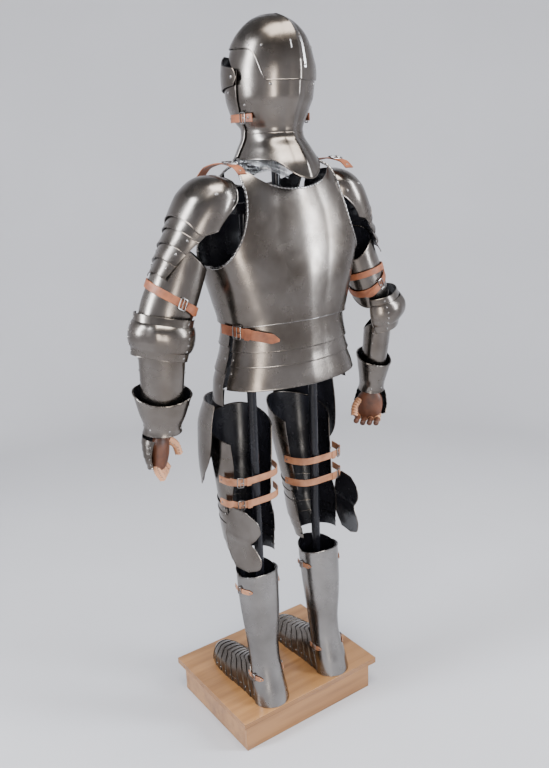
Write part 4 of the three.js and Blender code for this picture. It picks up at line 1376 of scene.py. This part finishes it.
# ---------------------------------------------------------------- legs
@dataclass
class Leg:
    """One leg's plates, from the tasset to the sabaton."""

    side: Side
    trunk_shift: float = -12.0
    shin_shift: float = 4.0
    thigh_rows: Sections = field(default_factory=lambda: Sections("z cx cy w f b", [
        [640, 114, 30, 68, 76, 64], [720, 109, 20, 76, 82, 68], [800, 105, 10, 84, 86, 74],
        [860, 103, 4, 88, 88, 78], [930, 101, 0, 90, 90, 82],
    ]))
    knee_rows: Sections = field(default_factory=lambda: Sections("z cx cy w f b", [
        [498, 114, 62, 57, 60, 56], [530, 114, 56, 61, 72, 60], [565, 114, 50, 65, 84, 62],
        [600, 114, 46, 68, 90, 64], [635, 114, 38, 70, 84, 66],
        [660, 113, 28, 71, 79, 68], [692, 111, 24, 74, 81, 70],
    ]))
    shin_rows: Sections = field(default_factory=lambda: Sections("z cx cy w f b", [
        [92.3, 113, 138, 48, 62, 46], [130, 113, 130, 45, 58, 44], [170, 112, 120, 41, 56, 41],
        [215, 111, 110, 38, 52, 39], [260, 111, 104, 39, 54, 42], [330, 111, 98, 48, 50, 49],
        [400, 111, 93, 53, 54, 53], [470, 110, 88, 55, 56, 54], [520, 110, 86, 55, 58, 54],
    ]))
    foot_rows: Sections = field(default_factory=lambda: Sections("z w b n", [
        [-60, 45, 86, 2.3], [-20, 46, 92, 2.3], [30, 46, 98, 2.2], [70, 48, 82, 2.2], [110, 51, 66, 2.3],
        [150, 50, 56, 2.4], [195, 43, 48, 2.4], [224, 28, 38, 2.3], [238, 12, 26, 2.2],
    ]))
    tasset_rows: Sections = field(default_factory=lambda: Sections("z cx cy w f b", [
        [715, 112, 0, 104, 104, 100], [800, 112, 0, 110, 110, 104], [900, 110, 0, 108, 108, 104],
        [984, 106, 14, 96, 92, 96],
    ]))

    def __post_init__(self) -> None:
        """Works out where the thigh, the shin and the foot sit."""
        sign = self.side.value
        half = Matrix.Diagonal((sign, 1, 1, 1))
        self.thigh = half @ Matrix.Translation((sign * self.trunk_shift, 0, 0))
        self.shin = half @ Matrix.Translation((sign * self.shin_shift, 0, 0))
        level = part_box("plinth_board")[1][2] / MM + 0.3
        self.foot = self.shin @ Matrix.Translation((113, 92, level)) @ Matrix.Rotation(math.pi / 2, 4, "X")

    def name(self, words: str) -> str:
        """The words with the side after them."""
        return f"{words}_{self.side.word}"

    def thigh_plates(self) -> None:
        """The cuisse, with its rolled top, and the pointed tasset over it."""
        top = edge((0, 880), (0.35, 925), (0.6, 912), (1, 862))
        end = edge((640, 18), (720, 34), (800, 42), (870, 40))
        grid = self.thigh_rows.patch(-208, end, 668, top, 0, 0, 88, 36)
        form = plate_form(grid, rolls="tse", radius=2.0)
        spots = [(end(np.array(float(z))) - 5, z) for z in (700, 766)] + [(-203, z) for z in (700, 766)]
        rivet_line(form, self.thigh_rows, spots, PLATE, 3.0)
        form.build(self.name("thigh_plate"), "armour", "steel", self.thigh, self.name("cuisse"))
        start = edge((720, -46), (800, -88), (870, -104), (980, -96))
        end = edge((720, -34), (760, -8), (830, 14), (900, 18), (980, 14))
        top = edge((0, 970), (0.5, 978), (1, 974))
        grid = self.tasset_rows.patch(start, end, 722, top, 0, 0, 56, 40)
        form = plate_form(grid, rolls="bset", radius=1.8)
        form.build(self.name("hanging_tasset"), "armour", "steel", self.thigh, self.name("tasset"))

    def knee_plates(self) -> None:
        """The knee cop with a lame above and below, and its fan."""
        bottom, top = edge((0, 518), (0.5, 508), (1, 518)), edge((0, 680), (0.5, 690), (1, 680))
        rows = self.knee_rows
        form = Form(Finish.STEEL, Finish.ENAMEL)
        shares = ((0.0, 0.2, -1.9), (0.17, 0.36, -0.2), (0.33, 0.7, 1.6), (0.67, 0.86, -0.2), (0.83, 1.0, -1.9))
        for low, high, lift in shares:
            def line(at: float) -> Edge:
                """The level at a share of the plate's height."""
                return lambda s: bottom(s) * (1 - at) + top(s) * at
            grid = rows.patch(-196, 16, line(low), line(high), LAYER + lift, 0, 72, 8)
            form.wall(grid)
            middle = lifted(grid, PLATE / 2)
            for row in (middle[0], middle[-1]):
                form.tube(row, 1.1, sides=6)
        spots = [(a, z) for a in (10, -190) for z in (530, 548, 566, 584, 620, 640, 660, 674)]
        rivet_line(form, rows, spots, LAYER + PLATE + 0.4, 2.8)
        inner = [(-186, z) for z in (532, 552, 572, 596, 620, 644, 666)]
        rivet_line(form, rows, inner, LAYER - 2.2, 3.0, -1.0)
        form.build(self.name("knee_cop"), "armour", "steel", self.thigh, self.name("poleyn"))
        rear = edge((0, 150), (0.25, 170), (0.5, 182), (0.75, 176), (1, 136))
        front = edge((0, 50), (0.5, 56), (1, 86))
        rise = np.linspace(-1, 1, 41)[:, None]
        across = np.linspace(0, 1, 21)[None]
        share = np.abs(rise)
        y = front(share) * (1 - across) + rear(share) * across
        x = 192 - 0.0012 * (y - 46) ** 2 + 2.4 * np.exp(-((rise * 9) ** 2))
        grid = np.stack([x, y, 608 + 88 * rise + 0 * across], axis=-1)
        fan = plate_form(grid, rolls="btse", radius=1.7)
        fan.build(self.name("knee_fan"), "armour", "steel", self.thigh, self.name("poleyn_wing"))

    def greaves(self) -> None:
        """The shin's two halves, with their straps and buckles."""
        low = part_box("plinth_board")[1][2] / MM + 0.3
        grid = self.shin_rows.patch(-2, 182, low, edge((0, 484), (0.5, 496), (1, 484)), LAYER, 0, 72, 64)
        form = Form(Finish.BRIGHT, Finish.ENAMEL)
        form.wall(grid)
        middle = lifted(grid, PLATE / 2)
        form.tube(middle[-1], 2.1)
        for column in (middle[:, 0], middle[:, -1]):
            form.tube(column[1:], 1.2, sides=6)
        form.build(self.name("rear_greave"), "armour", "steel", self.shin, self.name("greave_back"))
        bottom, top = edge((0, 150), (0.5, 206), (1, 150)), edge((0, 484), (0.5, 498), (1, 484))
        grid = self.shin_rows.patch(-188, 8, bottom, top, 0, 4.0, 72, 48)
        form = plate_form(grid, rolls="t", radius=1.9)
        form.build(self.name("front_greave"), "armour", "steel", self.shin, self.name("greave_front"))
        form = Form(Finish.PALE, Finish.BRIGHT)
        for level in (446, 172):
            for start, finish in ((-22, 44), (202, 148)):
                angles = np.linspace(start, finish, 20)
                path = self.shin_rows.points(angles, np.full(20, float(level)), LAYER + PLATE + 2.0)
                form.ribbon(path, np.array([0.0, 0.0, 1.0]), 14, 2.4, pointed=True)
                along = Vector(path[10] - path[9]).normalized()
                outward = (Vector(path[9]) - Vector((111, 98, level))).normalized()
                form.buckle(Vector(path[8]) + outward * 2.4, along, Vector((0, 0, 1)), 14)
                for k in (1, 17):
                    form.rivet(Vector(path[k]) + outward * 1.2, outward, 2.4, 1)
        form.build(self.name("greave_straps"), "armour", "pale_leather", self.shin)

    def sabaton(self) -> None:
        """The foot's lames."""
        bottom = edge((0, -44), (0.3, 10), (0.4, 42), (0.6, 42), (0.7, 10), (1, -44))
        grid = self.foot_rows.patch(0, 180, bottom, 238, 0, 0, 56, lapped(9, 2.0))
        form = plate_form(grid, rolls="bt", radius=1.5)
        spots = [(a, z) for a in (9, 171) for z in (-30, -10, 14, 40, 66, 92, 118, 144, 170)]
        rivet_line(form, self.foot_rows, spots, PLATE + 1.2, 2.6)
        form.build(self.name("foot_lames"), "armour", "steel", self.foot, self.name("sabaton"))

    def thigh_straps(self) -> None:
        """The two straps behind the thigh, each with its buckle and free tail."""
        route = [(198, 36), (194, 66), (172, 94), (142, 103), (92, 103), (58, 97), (30, 68), (22, 36)]
        for word, level in (("upper", 766), ("lower", 700)):
            path = through([(x, y, level) for x, y in route], 60)
            form = Form(Finish.PALE, Finish.BRIGHT)
            form.ribbon(path, np.array([0.0, 0.0, 1.0]), 20, LEATHER)
            k = 16
            along = Vector(path[k + 1] - path[k]).normalized()
            outward = along.cross(Vector((0, 0, 1)))
            outward = outward if outward.y > 0 else -outward
            form.buckle(Vector(path[k]) + outward * 3.0, along, Vector((0, 0, 1)), 20)
            tail = path[k - 9:k + 1][::-1] + np.array(outward) * 3.4
            tail[:, 2] += np.linspace(0, 7, len(tail))
            form.ribbon(tail, np.array([0.0, 0.0, 1.0]), 18, 2.4, pointed=True)
            keeper = path[k + 4:k + 8] + np.array(outward) * 2.4
            form.ribbon(keeper, np.array([0.0, 0.0, 1.0]), 24, 2.0)
            for near in (2, -3):
                out = Vector(path[near]) - Vector((110, 40, level))
                form.rivet(Vector(path[near]) + out.normalized() * 1.6, out, 3.0, 1)
            node = f"thigh_strap_{word}_{self.side.word}"
            form.build(f"thigh_belt_{word}_{self.side.word}", "armour", "pale_leather", self.thigh, node)

    def build(self) -> None:
        """Makes the whole leg."""
        self.thigh_plates()
        self.knee_plates()
        self.greaves()
        self.sabaton()
        self.thigh_straps()


# ---------------------------------------------------------------- studio
@dataclass
class Studio:
    """The camera, the soft lights and the pale floor."""

    eye: tuple[float, float, float] = (1.194487, 1.755315, 1.637502)
    yaw: float = -2.181
    pitch: float = 0.297
    roll: float = -0.037
    lens: float = 37.134

    def camera(self) -> None:
        """Sets the camera at its place."""
        data = bpy.data.cameras.new("camera")
        data.sensor_fit, data.sensor_height, data.lens = "VERTICAL", 36.0, self.lens
        data.clip_start, data.clip_end = 0.05, 50.0
        camera = bpy.data.objects.new("camera", data)
        ahead = Vector((
            math.cos(self.yaw) * math.cos(self.pitch),
            math.sin(self.yaw) * math.cos(self.pitch),
            -math.sin(self.pitch),
        ))
        right = Vector((math.sin(self.yaw), -math.cos(self.yaw), 0))
        up = right.cross(ahead)
        c, s = math.cos(self.roll), math.sin(self.roll)
        side, top = right * c + up * s, up * c - right * s
        spin = Matrix((side, top, -ahead)).transposed().to_4x4()
        camera.matrix_world = Matrix.Translation(self.eye) @ spin
        bpy.context.scene.collection.objects.link(camera)
        bpy.context.scene.camera = camera

    def lamp(
        self,
        name: str,
        place: Sequence[float],
        size: tuple[float, float],
        power: float,
        colour: Sequence[float],
    ) -> None:
        """A soft rectangular lamp aimed at the suit's middle."""
        data = bpy.data.lights.new(name, "AREA")
        data.shape, data.size, data.size_y = "RECTANGLE", *size
        data.energy, data.color = power, colour
        lamp = bpy.data.objects.new(name, data)
        lamp.location = place
        aim = Vector((0, 0, 1.0)) - Vector(place)
        lamp.rotation_euler = aim.to_track_quat("-Z", "Y").to_euler()
        bpy.context.scene.collection.objects.link(lamp)

    def floor(self) -> None:
        """A floor that sweeps up into a wall all round, far from the suit."""
        radius, bend, height, sides = 3.4, 0.9, 4.2, 96
        profile = [(0.0, 0.0), (radius - bend, 0.0)]
        for t in np.linspace(0.1, math.pi / 2, 12):
            profile.append((radius - bend + bend * math.sin(t), bend - bend * math.cos(t)))
        profile.append((radius, height))
        points, faces = [(0.0, 0.0, 0.0)], []
        for r, z in profile[1:]:
            for a in np.linspace(0, 2 * math.pi, sides, endpoint=False):
                points.append((r * math.cos(a), r * math.sin(a), z))
        for i in range(sides):
            k = (i + 1) % sides
            faces.append((0, 1 + i, 1 + k))
            for j in range(len(profile) - 2):
                low = 1 + j * sides
                faces.append((low + i, low + sides + i, low + sides + k, low + k))
        mesh = bpy.data.meshes.new("studio_floor")
        mesh.from_pydata(points, [], faces)
        mesh.materials.append(Backing().material())
        mesh.polygons.foreach_set("use_smooth", [True] * len(faces))
        floor = bpy.data.objects.new("studio_floor", mesh)
        bpy.context.scene.collection.objects.link(floor)

    def build(self) -> None:
        """Sets up the whole studio."""
        self.camera()
        self.floor()
        world = bpy.data.worlds.new("studio_air")
        world.use_nodes = True
        world.node_tree.nodes["Background"].inputs["Color"].default_value = (0.78, 0.80, 0.86, 1)
        world.node_tree.nodes["Background"].inputs["Strength"].default_value = 0.30
        bpy.context.scene.world = world
        self.lamp("window", (2.4, -0.4, 2.3), (0.55, 2.4), 150.0, (0.86, 0.92, 1.0))
        self.lamp("far_window", (-1.8, 1.9, 2.2), (0.5, 2.4), 130.0, (0.86, 0.92, 1.0))
        self.lamp("overhead", (0.2, 0.6, 3.8), (1.4, 1.4), 110.0, (1.0, 0.97, 0.93))
        self.lamp("fill", (1.6, 2.5, 1.2), (0.5, 1.8), 42.0, (1.0, 0.93, 0.85))


def main() -> None:
    """Builds the studio and every part of the suit, in order."""
    logging.basicConfig(level=logging.INFO, format="%(name)s: %(message)s")
    Studio().build()
    Stand().build()
    Helmet().build()
    MailCollar().build()
    Cuirass().build()
    for side, curl in ((Side.LEFT, 0.3), (Side.RIGHT, 1.0)):
        Arm(side, curl).build()
        Leg(side).build()


if __name__ == "__main__":
    main()
